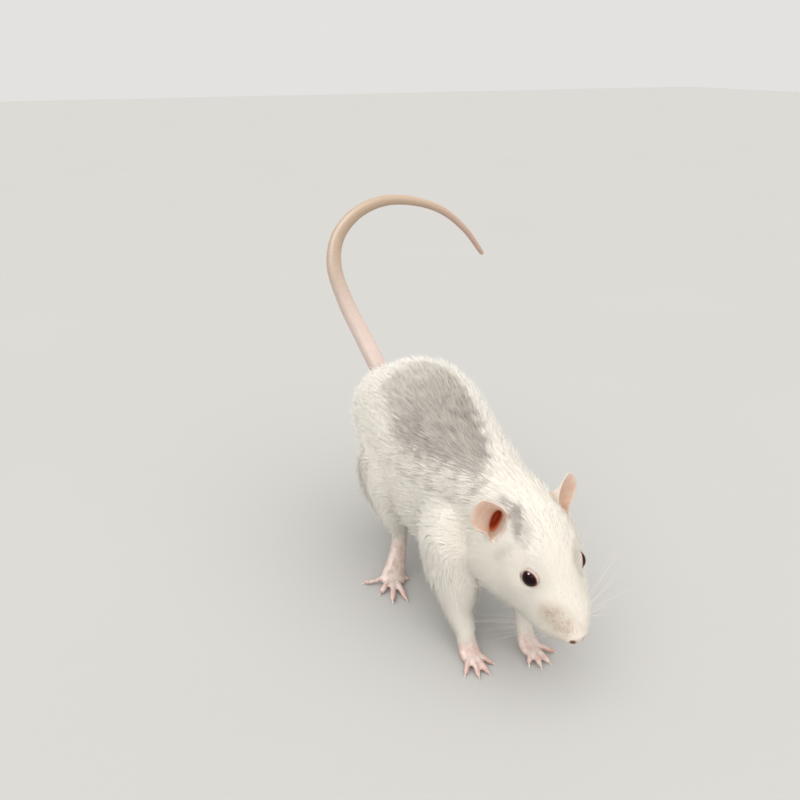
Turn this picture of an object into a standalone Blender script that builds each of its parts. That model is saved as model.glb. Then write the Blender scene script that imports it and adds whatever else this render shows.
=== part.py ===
"""Dumbo rat, life size, standing with its head lowered and its tail raised over its back.

The rat faces -Y, its left side is +X and the floor is z = 0. All lengths are in metres and
all angles in degrees. The solids give the outline of the coat.
"""
import math
from dataclasses import dataclass

import bmesh
import bpy
import numpy as np
from mathutils import Matrix, Vector

# Clearance between neighbouring solids, the angle past which an edge stays sharp, and the
# distance at which points are merged
GAP = 0.0003
SHARP_ANGLE = 50.0
MERGE = 1e-7

# Plain finishes: colour and roughness
FUR = ((0.83, 0.80, 0.75), 0.8)
SKIN = ((0.80, 0.55, 0.48), 0.6)
EAR_SKIN = ((0.80, 0.52, 0.45), 0.6)
EYE_RUBY = ((0.05, 0.005, 0.008), 0.05)

# Head, placed by the tip of the nose and turned about it
NOSE_TIP = Vector((0.0112, -0.0735, 0.0232))
HEAD_PITCH = 38.7
HEAD_ROLL = -3.3

# Head sections: distance behind the nose, half width, rise, drop, how much wider the lower
# half is, and squareness
HEAD_FORM = (
    (0.0000, 0.0014, 0.0013, 0.0013, 0.10, 2.0),
    (0.0010, 0.0034, 0.0024, 0.0028, 0.12, 2.0),
    (0.0030, 0.0053, 0.0036, 0.0052, 0.14, 2.1),
    (0.0065, 0.0080, 0.0052, 0.0082, 0.16, 2.2),
    (0.0110, 0.0103, 0.0072, 0.0110, 0.16, 2.3),
    (0.0170, 0.0124, 0.0096, 0.0138, 0.16, 2.3),
    (0.0250, 0.0149, 0.0128, 0.0170, 0.18, 2.3),
    (0.0330, 0.0168, 0.0153, 0.0205, 0.24, 2.2),
    (0.0420, 0.0170, 0.0171, 0.0240, 0.34, 2.1),
)

# Body sections: x, y, z of the centre, pitch, roll, half width, rise, drop, how much wider
# the lower half is, and squareness
BODY_FORM = (
    (0.0085, -0.0322, 0.0517, 30.0, -2.0, 0.0171, 0.0180, 0.0345, 0.30, 2.3),
    (0.0055, -0.0225, 0.0528, 21.0, -1.0, 0.0174, 0.0186, 0.0375, 0.22, 2.5),
    (0.0030, -0.0110, 0.0540, 11.0, 0.0, 0.0196, 0.0216, 0.0365, 0.15, 2.5),
    (0.0017, 0.0060, 0.0545, 2.0, 0.0, 0.0235, 0.0278, 0.0315, 0.12, 2.5),
    (0.0022, 0.0240, 0.0565, 2.0, 0.0, 0.0268, 0.0308, 0.0300, 0.08, 2.3),
    (0.0033, 0.0420, 0.0590, 8.0, 0.0, 0.0264, 0.0285, 0.0260, 0.05, 2.1),
    (0.0025, 0.0570, 0.0630, 20.0, 0.0, 0.0218, 0.0213, 0.0205, 0.0, 2.0),
    (0.0005, 0.0660, 0.0675, 34.0, 0.0, 0.0125, 0.0115, 0.0120, 0.0, 2.0),
    (-0.0005, 0.0715, 0.0712, 46.0, 0.0, 0.0048, 0.0047, 0.0048, 0.0, 2.0),
)
RING_POINTS = 36
HEAD_RINGS = 25
NOSE_CROWDING = 1.5
BODY_RINGS = {"neck": 4, "chest": 6, "belly": 6, "rump": 11}

# Where the trunk is parted, counted along its centre line from the nose
HEAD_END = 0.0535
NECK_END = 0.0650
CHEST_END = 0.0850
BELLY_END = 0.1100

# Tail: x, y, z and radius along its centre line past the root
TAIL_ROUTE = (
    (-0.0044, 0.0830, 0.0850, 0.0041),
    (-0.0092, 0.0930, 0.1010, 0.0038),
    (-0.0116, 0.0998, 0.1170, 0.0035),
    (-0.0078, 0.1030, 0.1290, 0.0032),
    (0.0015, 0.1028, 0.1388, 0.0029),
    (0.0140, 0.1001, 0.1440, 0.0025),
    (0.0280, 0.0960, 0.1436, 0.0021),
    (0.0415, 0.0930, 0.1388, 0.0018),
    (0.0530, 0.0910, 0.1295, 0.0015),
    (0.0636, 0.0900, 0.1160, 0.0011),
)
TAIL_ROOT_RADIUS = 0.0043
TAIL_SINK = 0.0020
TAIL_LENGTHS = 5
TAIL_RINGS = 9
TAIL_SIDES = 14
TAIL_CAP = 0.0005
TAIL_CAP_SCALE = 0.4

# Eyes: place and outward direction as left, up and forward, the half sizes of the opening
# and its slant; the plug that opens the lids has a scale at each distance from the centre
EYE_RADIUS = 0.0036
EYE_PLACE = (0.0091, 0.0062, -0.0256)
EYE_AIM = (0.78, 0.50, 0.34)
LID_THICKNESS = 0.0007
EYE_OPENING = (0.0034, 0.0028)
EYE_SLANT = 0.0
LID_PLUG = ((0.0012, 0.8), (0.0070, 1.25))
LID_SIDES = 16
LID_CORNERS = 0.2

# Nose and mouth: nostrils as left, up and forward, then places and angles along the lips
NOSTRIL_PLACE = (0.0024, 0.0008, -0.0010)
NOSTRIL_RADII = (0.0011, 0.0009, 0.0006)
NOSTRIL_SLANT = 35.0
MOUTH_LINE = (
    (0.0048, -90.0),
    (0.0056, -76.0),
    (0.0080, -60.0),
    (0.0120, -48.0),
    (0.0175, -40.0),
)
MOUTH_STEPS = 8
MOUTH_RADIUS = 0.0004
MOUTH_LIFT = 0.0003
MOUTH_REACH = 0.92
MOUTH_SIDES = 6
LIP_RADIUS = 0.0009
LIP_SIDES = 7
PHILTRUM_TOP = 0.0014
PHILTRUM_LIFT = 0.0001
PHILTRUM_STEPS = 5

# Ears: the opening's place on the head as left, up and forward, and its radii along the ways
# the ear reaches, runs and faces; the rim's distance from it at angles from the reach
EAR_PLACE = (0.0138, 0.0074, -0.0459)
EAR_CANAL = (0.0018, 0.0038, 0.0030)
EAR_ROOT = (0.0026, 0.0046)
EAR_RIM = (
    (-180, 0.0046),
    (-150, 0.0056),
    (-120, 0.0066),
    (-98, 0.0075),
    (-75, 0.0056),
    (-57, 0.0051),
    (-45, 0.0060),
    (-35, 0.0075),
    (-22, 0.0090),
    (-8, 0.0100),
    (10, 0.0108),
    (27, 0.0113),
    (42, 0.0110),
    (50, 0.0100),
    (60, 0.0086),
    (75, 0.0072),
    (92, 0.0060),
    (120, 0.0048),
    (150, 0.0043),
    (180, 0.0046),
)
EAR_DEPTH = 0.0045
EAR_FLARE = 1.8
EAR_CURL = 0.0006
EAR_CURL_POWER = 4
EAR_HALF_THICKNESS = 0.0003
EAR_AIMS = {
    -1: ((0.81, 0.01, -0.58), (-0.38, 0.76, -0.53)),
    1: ((0.81, 0.01, -0.58), (-0.38, 0.76, -0.53)),
}
EAR_AROUND = 36
EAR_STEPS = 7

# Limbs: x, y, z, front radius and side radius from the body down to the wrist or ankle
FORELEGS = {
    -1: (
        (-0.0090, -0.0160, 0.0500, 0.0130, 0.0080),
        (-0.0128, -0.0195, 0.0380, 0.0140, 0.0092),
        (-0.0108, -0.0245, 0.0270, 0.0120, 0.0112),
        (-0.0120, -0.0290, 0.0200, 0.0088, 0.0088),
        (-0.0134, -0.0330, 0.0145, 0.0056, 0.0058),
        (-0.0132, -0.0385, 0.0085, 0.0038, 0.0040),
    ),
    1: (
        (0.0160, -0.0170, 0.0500, 0.0130, 0.0080),
        (0.0175, -0.0195, 0.0380, 0.0140, 0.0085),
        (0.0155, -0.0270, 0.0270, 0.0110, 0.0080),
        (0.0115, -0.0375, 0.0165, 0.0046, 0.0043),
        (0.0092, -0.0440, 0.0085, 0.0031, 0.0032),
    ),
}
HIND_LEGS = {
    -1: (
        (-0.0040, 0.0430, 0.0600, 0.0140, 0.0080),
        (-0.0172, 0.0320, 0.0500, 0.0175, 0.0090),
        (-0.0203, 0.0216, 0.0395, 0.0142, 0.0076),
        (-0.0195, 0.0165, 0.0300, 0.0078, 0.0055),
        (-0.0145, 0.0171, 0.0205, 0.0045, 0.0045),
    ),
    1: (
        (0.0080, 0.0450, 0.0600, 0.0140, 0.0080),
        (0.0205, 0.0345, 0.0500, 0.0175, 0.0090),
        (0.0240, 0.0290, 0.0385, 0.0148, 0.0080),
        (0.0235, 0.0340, 0.0260, 0.0082, 0.0058),
        (0.0224, 0.0425, 0.0140, 0.0042, 0.0038),
        (0.0221, 0.0448, 0.0085, 0.0036, 0.0034),
    ),
}


@dataclass(frozen=True)
class Paw:
    """A paw from wrist or heel to ball, then each toe's tip and thickness."""

    sole: tuple
    toes: tuple
    toe_radius: float
    claw: float


PAWS = {
    "forepaw_right": Paw(
        sole=(
            (-0.0136, -0.0385, 0.0090, 0.0033, 0.0036),
            (-0.0136, -0.0410, 0.0046, 0.0030, 0.0038),
            (-0.0138, -0.0438, 0.0022, 0.0025, 0.0044),
            (-0.0137, -0.0470, 0.0017, 0.0018, 0.0040),
        ),
        toes=((-0.0195, -0.0505), (-0.0158, -0.0535), (-0.0118, -0.0535), (-0.0082, -0.0500)),
        toe_radius=0.0012,
        claw=0.0016,
    ),
    "forepaw_left": Paw(
        sole=(
            (0.0092, -0.0440, 0.0090, 0.0029, 0.0031),
            (0.0088, -0.0465, 0.0046, 0.0028, 0.0036),
            (0.0086, -0.0495, 0.0022, 0.0025, 0.0044),
            (0.0088, -0.0525, 0.0017, 0.0018, 0.0040),
        ),
        toes=((0.0045, -0.0560), (0.0075, -0.0590), (0.0115, -0.0585), (0.0160, -0.0545)),
        toe_radius=0.0012,
        claw=0.0016,
    ),
    "hind_foot_right": Paw(
        sole=(
            (-0.0142, 0.0175, 0.0215, 0.0040, 0.0044),
            (-0.0162, 0.0151, 0.0130, 0.0036, 0.0043),
            (-0.0191, 0.0117, 0.0068, 0.0031, 0.0047),
            (-0.0222, 0.0085, 0.0023, 0.0026, 0.0055),
            (-0.0232, 0.0060, 0.0017, 0.0018, 0.0048),
        ),
        toes=(
            (-0.0335, 0.0120),
            (-0.0300, 0.0035),
            (-0.0275, -0.0030),
            (-0.0222, -0.0045),
            (-0.0160, 0.0070),
        ),
        toe_radius=0.0014,
        claw=0.0018,
    ),
    "hind_foot_left": Paw(
        sole=(
            (0.0220, 0.0503, 0.0055, 0.0018, 0.0018),
            (0.0220, 0.0490, 0.0052, 0.0042, 0.0038),
            (0.0223, 0.0420, 0.0042, 0.0045, 0.0042),
            (0.0230, 0.0350, 0.0031, 0.0034, 0.0040),
            (0.0238, 0.0280, 0.0025, 0.0028, 0.0052),
            (0.0242, 0.0250, 0.0017, 0.0018, 0.0048),
        ),
        toes=(
            (0.0330, 0.0235),
            (0.0305, 0.0160),
            (0.0262, 0.0128),
            (0.0215, 0.0135),
            (0.0172, 0.0225),
        ),
        toe_radius=0.0014,
        claw=0.0018,
    ),
}

# Toes: share of the way to the tip with the thickness there, and the height of their arch
TOE_FORM = ((0.0, 1.1), (0.3, 1.05), (0.6, 0.9), (0.85, 1.0), (1.0, 0.65))
TOE_ARCH = 0.0010
TOE_ROOT_HEIGHT = 0.0021
TOE_ROOT_REACH = 0.0018
TOE_TIP_HEIGHT = 0.55
CLAW_FORM = ((0.0, 0.45), (0.6, 0.32), (1.0, 0.08))
CLAW_DROP = 0.0005
FLOOR_SIZE = 0.4

# Rings and sides of the legs and soles, and facets of the balls
LIMB_RINGS = 12
LIMB_SIDES = 18
SOLE_RINGS = 9
SOLE_SIDES = 14
BALL_SIDES = 18
BALL_RINGS = 12
TOE_SIDES = 7
CLAW_SIDES = 5


@dataclass(frozen=True)
class Turn:
    """A right-handed set of axes: left, forward and up, from a pitch and a roll in degrees."""

    pitch: float
    roll: float

    def matrix(self):
        roll = Matrix.Rotation(math.radians(self.roll), 3, "Y")
        return roll @ Matrix.Rotation(math.radians(self.pitch), 3, "X")

    def left(self):
        return self.matrix() @ Vector((1, 0, 0))

    def forward(self):
        return self.matrix() @ Vector((0, -1, 0))

    def up(self):
        return self.matrix() @ Vector((0, 0, 1))


HEAD_TURN = Turn(HEAD_PITCH, HEAD_ROLL)


def head_point(left, up, forward):
    """A point given along the head's own axes from the tip of the nose."""
    return NOSE_TIP + left * HEAD_TURN.left() + up * HEAD_TURN.up() + forward * HEAD_TURN.forward()


def head_direction(left, up, forward):
    return (left * HEAD_TURN.left() + up * HEAD_TURN.up() + forward * HEAD_TURN.forward()).normalized()


class Curve:
    """A smooth run through rows of numbers, by cubic pieces with matching slopes."""

    def __init__(self, rows, knots=None):
        self.rows = np.array(rows, dtype=float)
        if knots is None:
            steps = np.linalg.norm(np.diff(self.rows[:, :3], axis=0), axis=1)
            knots = np.concatenate([[0.0], np.cumsum(steps)])
        self.knots = np.array(knots, dtype=float)
        slopes = np.diff(self.rows, axis=0) / np.diff(self.knots)[:, None]
        inner = (slopes[1:] + slopes[:-1]) / 2
        self.slopes = np.vstack([slopes[:1], inner, slopes[-1:]])

    def end(self):
        return float(self.knots[-1])

    def at(self, place):
        index = int(np.clip(np.searchsorted(self.knots, place) - 1, 0, len(self.knots) - 2))
        span = self.knots[index + 1] - self.knots[index]
        t = (place - self.knots[index]) / span
        start = (1 + 2 * t) * (1 - t) ** 2 * self.rows[index]
        start_slope = t * (1 - t) ** 2 * span * self.slopes[index]
        stop = t * t * (3 - 2 * t) * self.rows[index + 1]
        stop_slope = t * t * (t - 1) * span * self.slopes[index + 1]
        return (start + start_slope + stop + stop_slope).tolist()


@dataclass(frozen=True)
class Swell:
    """A soft bulge or hollow on both sides of the trunk."""

    place: float
    angle: float
    length: float
    spread: float
    height: float

    def rise(self, place, angle):
        along = (place - self.place) / self.length
        total = 0.0
        for centre in (self.angle, 180.0 - self.angle):
            around = ((angle - centre + 180.0) % 360.0 - 180.0) / self.spread
            total += math.exp(-along * along - around * around)
        return self.height * total


HEAD_SWELLS = (
    Swell(place=0.0080, angle=-22.0, length=0.0040, spread=30.0, height=0.0009),
    Swell(place=0.0290, angle=-52.0, length=0.0120, spread=32.0, height=0.0038),
    Swell(place=0.0410, angle=-42.0, length=0.0120, spread=35.0, height=0.0040),
    Swell(place=0.0250, angle=41.0, length=0.0060, spread=24.0, height=0.0009),
    Swell(place=0.0160, angle=15.0, length=0.0050, spread=28.0, height=-0.0006),
)


def trunk_curve():
    """The head's and body's sections in one curve that runs from the nose to the tail."""
    rows = []
    for behind, *sizes in HEAD_FORM:
        rows.append((*head_point(0, 0, -behind), HEAD_PITCH, HEAD_ROLL, *sizes))
    rows.extend(BODY_FORM)
    return Curve(rows)


TRUNK = trunk_curve()


def trunk_point(place, angle, grow=0.0):
    """A point on the trunk's surface; angle 0 is the left side and 90 the back."""
    x, y, z, pitch, roll, width, rise, drop, lower, square = TRUNK.at(place)
    cosine = math.cos(math.radians(angle))
    sine = math.sin(math.radians(angle))
    power = 2.0 / square
    across = width * math.copysign(abs(cosine) ** power, cosine) * (1 - lower * sine)
    upward = (rise if sine > 0 else drop) * math.copysign(abs(sine) ** power, sine)
    swell = sum(bump.rise(place, angle) for bump in HEAD_SWELLS)
    reach = math.hypot(across, upward)
    scale = (reach + swell + grow) / reach
    turn = Turn(pitch, roll)
    return Vector((x, y, z)) + across * scale * turn.left() + upward * scale * turn.up()


def trunk_ring(place, grow=0.0):
    return [trunk_point(place, 360.0 * i / RING_POINTS, grow) for i in range(RING_POINTS)]


def places(start, stop, count):
    return [start + (stop - start) * i / (count - 1) for i in range(count)]


def nose_places():
    """Rings close together at the nose and wider apart towards the neck."""
    stop = HEAD_END - GAP / 2
    return [stop * share ** NOSE_CROWDING for share in places(0.0, 1.0, HEAD_RINGS)]


def trunk_places():
    """Where the rings of each piece of the trunk lie, by the piece's name."""
    found = {"head": nose_places()}
    cuts = [HEAD_END, NECK_END, CHEST_END, BELLY_END, TRUNK.end() + GAP / 2]
    for (name, count), start, stop in zip(BODY_RINGS.items(), cuts, cuts[1:]):
        found[name] = places(start + GAP / 2, stop - GAP / 2, count)
    return found


TRUNK_PLACES = trunk_places()


def finish(name, look):
    """A plain finish for one solid."""
    colour, roughness = look
    material = bpy.data.materials.new(name)
    material.use_nodes = True
    shader = material.node_tree.nodes["Principled BSDF"]
    shader.inputs["Base Color"].default_value = (*colour, 1.0)
    shader.inputs["Roughness"].default_value = roughness
    shader.inputs["Metallic"].default_value = 0.0
    return material


def shell(rings):
    """A bmesh skinned over rings of points, with flat ends."""
    mesh = bmesh.new()
    loops = [[mesh.verts.new(point) for point in ring] for ring in rings]
    for first, second in zip(loops, loops[1:]):
        count = len(first)
        for i in range(count):
            j = (i + 1) % count
            mesh.faces.new((first[i], first[j], second[j], second[i]))
    mesh.faces.new(reversed(loops[0]))
    mesh.faces.new(loops[-1])
    bmesh.ops.recalc_face_normals(mesh, faces=mesh.faces)
    return mesh


def shade(data):
    """Smooth shading, with edges kept where the form turns sharply."""
    data.shade_smooth()
    data.set_sharp_from_angle(angle=math.radians(SHARP_ANGLE))


def add_object(name, mesh, look=FUR):
    """Turns a bmesh into a named object with its own finish."""
    data = bpy.data.meshes.new(name)
    bmesh.ops.triangulate(mesh, faces=mesh.faces)
    mesh.to_mesh(data)
    mesh.free()
    shade(data)
    item = bpy.data.objects.new(name, data)
    bpy.context.scene.collection.objects.link(item)
    data.materials.append(finish(name, look))
    return item


def remove(item):
    bpy.data.objects.remove(item)


def combine(item, tools, operation, solver="EXACT"):
    """Joins to or cuts from an object a list of closed helpers, which are then removed."""
    group = bpy.data.collections.new("helpers")
    for tool in tools:
        group.objects.link(tool)
    modifier = item.modifiers.new(operation.lower(), "BOOLEAN")
    modifier.operation = operation
    modifier.solver = solver
    modifier.operand_type = "COLLECTION"
    modifier.collection = group
    bpy.context.view_layer.update()
    graph = bpy.context.evaluated_depsgraph_get()
    result = bpy.data.meshes.new_from_object(item.evaluated_get(graph))
    item.modifiers.clear()
    item.data = result
    bpy.data.collections.remove(group)
    for tool in tools:
        remove(tool)
    keep_largest(item)
    shade(item.data)
    return item


def keep_largest(item):
    """Keeps an object's largest closed surface."""
    mesh = bmesh.new()
    mesh.from_mesh(item.data)
    bmesh.ops.remove_doubles(mesh, verts=mesh.verts, dist=MERGE)
    unseen = set(mesh.verts)
    islands = []
    while unseen:
        edge = [unseen.pop()]
        island = set(edge)
        while edge:
            vert = edge.pop()
            for link in vert.link_edges:
                other = link.other_vert(vert)
                if other in unseen:
                    unseen.discard(other)
                    island.add(other)
                    edge.append(other)
        islands.append(island)
    largest = max(islands, key=len)
    spare = [vert for island in islands if island is not largest for vert in island]
    bmesh.ops.delete(mesh, geom=spare, context="VERTS")
    bmesh.ops.triangulate(mesh, faces=mesh.faces)
    mesh.to_mesh(item.data)
    mesh.free()


def trunk_solid(name):
    return add_object(name, shell([trunk_ring(place) for place in TRUNK_PLACES[name]]))


def trunk_clearance():
    """The whole trunk grown by the gap, which cuts room for it out of what it carries."""
    rings = [trunk_ring(place, GAP) for part in TRUNK_PLACES.values() for place in part]
    backward = -GAP * Turn(*TRUNK.at(TRUNK.end())[3:5]).forward()
    rings.append([point + backward for point in rings[-1]])
    return add_object("trunk_clearance", shell(rings))


def tube(points, radii, sides, side_radii=None, side_axis=Vector((1, 0, 0))):
    """A bmesh tube through points; side_radii flatten it along side_axis."""
    side_radii = side_radii or radii
    rings = []
    for i, point in enumerate(points):
        before = points[max(i - 1, 0)]
        after = points[min(i + 1, len(points) - 1)]
        along = (after - before).normalized()
        side = (side_axis - side_axis.dot(along) * along).normalized()
        front = along.cross(side)
        ring = []
        for k in range(sides):
            angle = 2 * math.pi * k / sides
            offset = side_radii[i] * math.cos(angle) * side + radii[i] * math.sin(angle) * front
            ring.append(point + offset)
        rings.append(ring)
    return shell(rings)


def smooth_tube(rows, count, sides, grow=0.0, side_axis=Vector((1, 0, 0))):
    """A tube through rows of x, y, z, radius and side radius, smoothed between them."""
    curve = Curve(rows)
    stations = [curve.at(curve.end() * i / (count - 1)) for i in range(count)]
    points = [Vector(row[:3]) for row in stations]
    points[-1] = points[-1] + grow * (points[-1] - points[-2]).normalized()
    radii = [row[3] + grow for row in stations]
    side_radii = [row[4] + grow for row in stations]
    return tube(points, radii, sides, side_radii, side_axis)


def eye_centre(side):
    left, up, forward = EYE_PLACE
    return head_point(left * side, up, forward)


def eye_axes(side):
    """The eye's outward direction, then the long and short directions of its opening."""
    left, up, forward = EYE_AIM
    out = head_direction(left * side, up, forward)
    ahead = HEAD_TURN.forward()
    ahead = (ahead - ahead.dot(out) * out).normalized()
    above = out.cross(ahead).normalized()
    if above.dot(HEAD_TURN.up()) < 0:
        above.negate()
    slant = math.radians(EYE_SLANT)
    long_way = math.cos(slant) * ahead - math.sin(slant) * above
    short_way = math.sin(slant) * ahead + math.cos(slant) * above
    return out, long_way, short_way


def ball(name, centre, radii, axes, look=FUR):
    """An ellipsoid whose three radii run along three axes."""
    mesh = bmesh.new()
    bmesh.ops.create_uvsphere(mesh, u_segments=BALL_SIDES, v_segments=BALL_RINGS, radius=1.0)
    for vert in mesh.verts:
        shares = [radius * share for radius, share in zip(radii, vert.co)]
        vert.co = centre + shares[0] * axes[0] + shares[1] * axes[1] + shares[2] * axes[2]
    mesh.normal_update()
    bmesh.ops.recalc_face_normals(mesh, faces=mesh.faces)
    return add_object(name, mesh, look)


def eye(name, side):
    return ball(name, eye_centre(side), [EYE_RADIUS] * 3, eye_axes(side), EYE_RUBY)


def lid_opening(name, side):
    """An almond-shaped plug that opens the lids."""
    out, long_way, short_way = eye_axes(side)
    half_length, half_height = EYE_OPENING
    rings = []
    for reach, scale in LID_PLUG:
        ring = []
        for k in range(LID_SIDES):
            angle = 2 * math.pi * k / LID_SIDES
            x = half_length * scale * math.cos(angle)
            y = half_height * scale * math.sin(angle) * abs(math.sin(angle)) ** LID_CORNERS
            ring.append(eye_centre(side) + reach * out + x * long_way + y * short_way)
        rings.append(ring)
    return add_object(name, shell(rings))


def mouth_path(grow, reach):
    """Points along the line of the mouth, from one corner under the nose to the other."""
    curve = Curve(MOUTH_LINE, [row[1] for row in MOUTH_LINE])
    points = []
    for k in range(-MOUTH_STEPS, MOUTH_STEPS + 1):
        share = reach * abs(k) / MOUTH_STEPS
        place, angle = curve.at(-90 + share * (MOUTH_LINE[-1][1] + 90))
        points.append(trunk_point(place, angle if k > 0 else 180 - angle, grow))
    return points


def philtrum_path(grow):
    """Points down the middle from the nose to the line of the mouth."""
    steps = places(PHILTRUM_TOP, MOUTH_LINE[0][0], PHILTRUM_STEPS)
    return [trunk_point(place, -90.0, grow) for place in steps]


def groove(points, radius, sides):
    """A thin tube under the chin's side of the head, for the lips or the line of the mouth."""
    up = HEAD_TURN.up()
    return add_object("groove", tube(points, [radius] * len(points), sides, side_axis=up))


def nostril(side):
    """A slanted pit beside the tip of the nose."""
    left, up, forward = NOSTRIL_PLACE
    slant = Matrix.Rotation(math.radians(NOSTRIL_SLANT * side), 3, "Y")
    turned = HEAD_TURN.matrix() @ slant
    return ball("nostril", head_point(left * side, up, forward), NOSTRIL_RADII, turned.col)


def ear_canal(side):
    """The opening of the ear, a pit in the head at the root of the pinna."""
    return ball("canal", ear_place(side), EAR_CANAL, ear_axes(side))


def head():
    """The head with lids round the eyes, nostrils, lips and the line of the mouth."""
    item = trunk_solid("head")
    raised = []
    cuts = []
    for side in (-1, 1):
        centre = eye_centre(side)
        raised.append(ball("lid", centre, [EYE_RADIUS + LID_THICKNESS] * 3, eye_axes(side)))
        cuts.append(ball("socket", centre, [EYE_RADIUS + GAP] * 3, eye_axes(side)))
        cuts.append(lid_opening("opening", side))
        cuts.append(nostril(side))
        cuts.append(ear_canal(side))
    raised.append(groove(mouth_path(-LIP_RADIUS / 2, 1.0), LIP_RADIUS, LIP_SIDES))
    cuts.append(groove(mouth_path(MOUTH_LIFT, MOUTH_REACH), MOUTH_RADIUS, MOUTH_SIDES))
    cuts.append(groove(philtrum_path(PHILTRUM_LIFT), MOUTH_RADIUS, MOUTH_SIDES))
    combine(item, raised, "UNION")
    return combine(item, cuts, "DIFFERENCE")


def ear_place(side):
    left, up, forward = EAR_PLACE
    return head_point(left * side, up, forward)


def ear_axes(side):
    """The ways the ear reaches, its width runs and its cup faces."""
    reach, width = (head_direction(side * left, up, ahead) for left, up, ahead in EAR_AIMS[side])
    width = (width - width.dot(reach) * reach).normalized()
    return reach, width, side * reach.cross(width)


EAR_EDGE = Curve([(radius,) for angle, radius in EAR_RIM], [angle for angle, radius in EAR_RIM])


def ear_point(side, share, angle):
    """A point of the ear's middle sheet: share 0 is its root and 1 its rim."""
    reach, width, face = ear_axes(side)
    cosine = math.cos(math.radians(angle))
    sine = math.sin(math.radians(angle))
    root = EAR_ROOT[0] * cosine * reach + EAR_ROOT[1] * sine * width
    rim = EAR_EDGE.at(angle)[0] * (cosine * reach + sine * width)
    height = EAR_CURL * share ** EAR_CURL_POWER - EAR_DEPTH * (1 - share) ** EAR_FLARE
    return ear_place(side) + root.lerp(rim, share) + height * face


def ear(name, side):
    """A thin cupped sheet with two faces, closed round its rim and its root."""
    turns = [-180.0 + 360.0 * i / EAR_AROUND for i in range(EAR_AROUND)]
    shares = [k / (EAR_STEPS - 1) for k in range(EAR_STEPS)]
    sheet = [[ear_point(side, share, turn) for turn in turns] for share in shares]
    faces = ([], [])
    for k, ring in enumerate(sheet):
        below = sheet[max(k - 1, 0)]
        above = sheet[min(k + 1, EAR_STEPS - 1)]
        for face, reach in zip(faces, (EAR_HALF_THICKNESS, -EAR_HALF_THICKNESS)):
            row = []
            for i, point in enumerate(ring):
                across = ring[(i + 1) % EAR_AROUND] - ring[i - 1]
                row.append(point + reach * (above[i] - below[i]).cross(across).normalized())
            face.append(row)
    mesh = bmesh.new()
    loops = [[mesh.verts.new(point) for point in row] for row in faces[0] + faces[1][::-1]]
    for number, loop in enumerate(loops):
        following = loops[(number + 1) % len(loops)]
        for i in range(EAR_AROUND):
            j = (i + 1) % EAR_AROUND
            corners = (loop[i], loop[j], following[j], following[i])
            if number < EAR_STEPS:
                mesh.faces.new((corners[0], corners[1], corners[2]))
                mesh.faces.new((corners[0], corners[2], corners[3]))
            else:
                mesh.faces.new((corners[0], corners[1], corners[3]))
                mesh.faces.new((corners[1], corners[2], corners[3]))
    bmesh.ops.recalc_face_normals(mesh, faces=mesh.faces)
    item = add_object(name, mesh, EAR_SKIN)
    return combine(item, [trunk_clearance()], "DIFFERENCE")


def limb(name, rows):
    """A leg from the body to its wrist or ankle, cut to the body's surface."""
    item = add_object(name, smooth_tube(rows, LIMB_RINGS, LIMB_SIDES))
    return combine(item, [trunk_clearance()], "DIFFERENCE")


def limb_clearance(rows):
    """A leg grown by the gap, which cuts room for it out of its paw."""
    return add_object("limb_clearance", smooth_tube(rows, LIMB_RINGS, LIMB_SIDES, GAP))


def toe(start, tip, radius, claw):
    """A toe that arches from the ball of the paw to its tip, with its claw."""
    stop = Vector((*tip, radius * TOE_TIP_HEIGHT))
    way = (stop - start).normalized()
    across = way.cross(Vector((0, 0, 1)))
    points = []
    for share, scale in TOE_FORM:
        rise = Vector((0, 0, TOE_ARCH * math.sin(math.pi * share)))
        points.append(start.lerp(stop, share) + rise)
    body = tube(points, [radius * scale for share, scale in TOE_FORM], TOE_SIDES, side_axis=across)
    root = stop + Vector((0, 0, radius / 2))
    hook = [root + share * claw * way for share, scale in CLAW_FORM]
    hook[-1].z -= CLAW_DROP
    radii = [radius * scale for share, scale in CLAW_FORM]
    nail = tube(hook, radii, CLAW_SIDES, side_axis=across)
    return add_object("toe", body), add_object("nail", nail)


def floor_block():
    """A block under the floor, which cuts the soles flat."""
    mesh = bmesh.new()
    bmesh.ops.create_cube(mesh, size=FLOOR_SIZE)
    bmesh.ops.translate(mesh, verts=mesh.verts, vec=(0, 0, -FLOOR_SIZE / 2))
    return add_object("floor_block", mesh)


def paw(name, form, limb_rows):
    """A paw with its toes and claws, cut flat where it meets the floor."""
    item = add_object(name, smooth_tube(form.sole, SOLE_RINGS, SOLE_SIDES), SKIN)
    x, y = form.sole[-2][:2]
    root = Vector((x, y, TOE_ROOT_HEIGHT))
    pieces = []
    for tip in form.toes:
        way = (Vector((*tip, TOE_ROOT_HEIGHT)) - root).normalized()
        pieces.extend(toe(root + TOE_ROOT_REACH * way, tip, form.toe_radius, form.claw))
    combine(item, pieces, "UNION")
    return combine(item, [floor_block(), limb_clearance(limb_rows)], "DIFFERENCE")


def tail_ring(curve, place, scale=1.0):
    """A ring of the tail, square to its centre line."""
    centre = Vector(curve.at(place)[:3])
    ahead = Vector(curve.at(place + GAP)[:3])
    along = (ahead - centre).normalized()
    side = (Vector((0, 1, 0)) - along.y * along).normalized()
    front = along.cross(side)
    radius = curve.at(place)[3] * scale
    ring = []
    for k in range(TAIL_SIDES):
        angle = 2 * math.pi * k / TAIL_SIDES
        ring.append(centre + radius * (math.cos(angle) * side + math.sin(angle) * front))
    return ring


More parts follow.
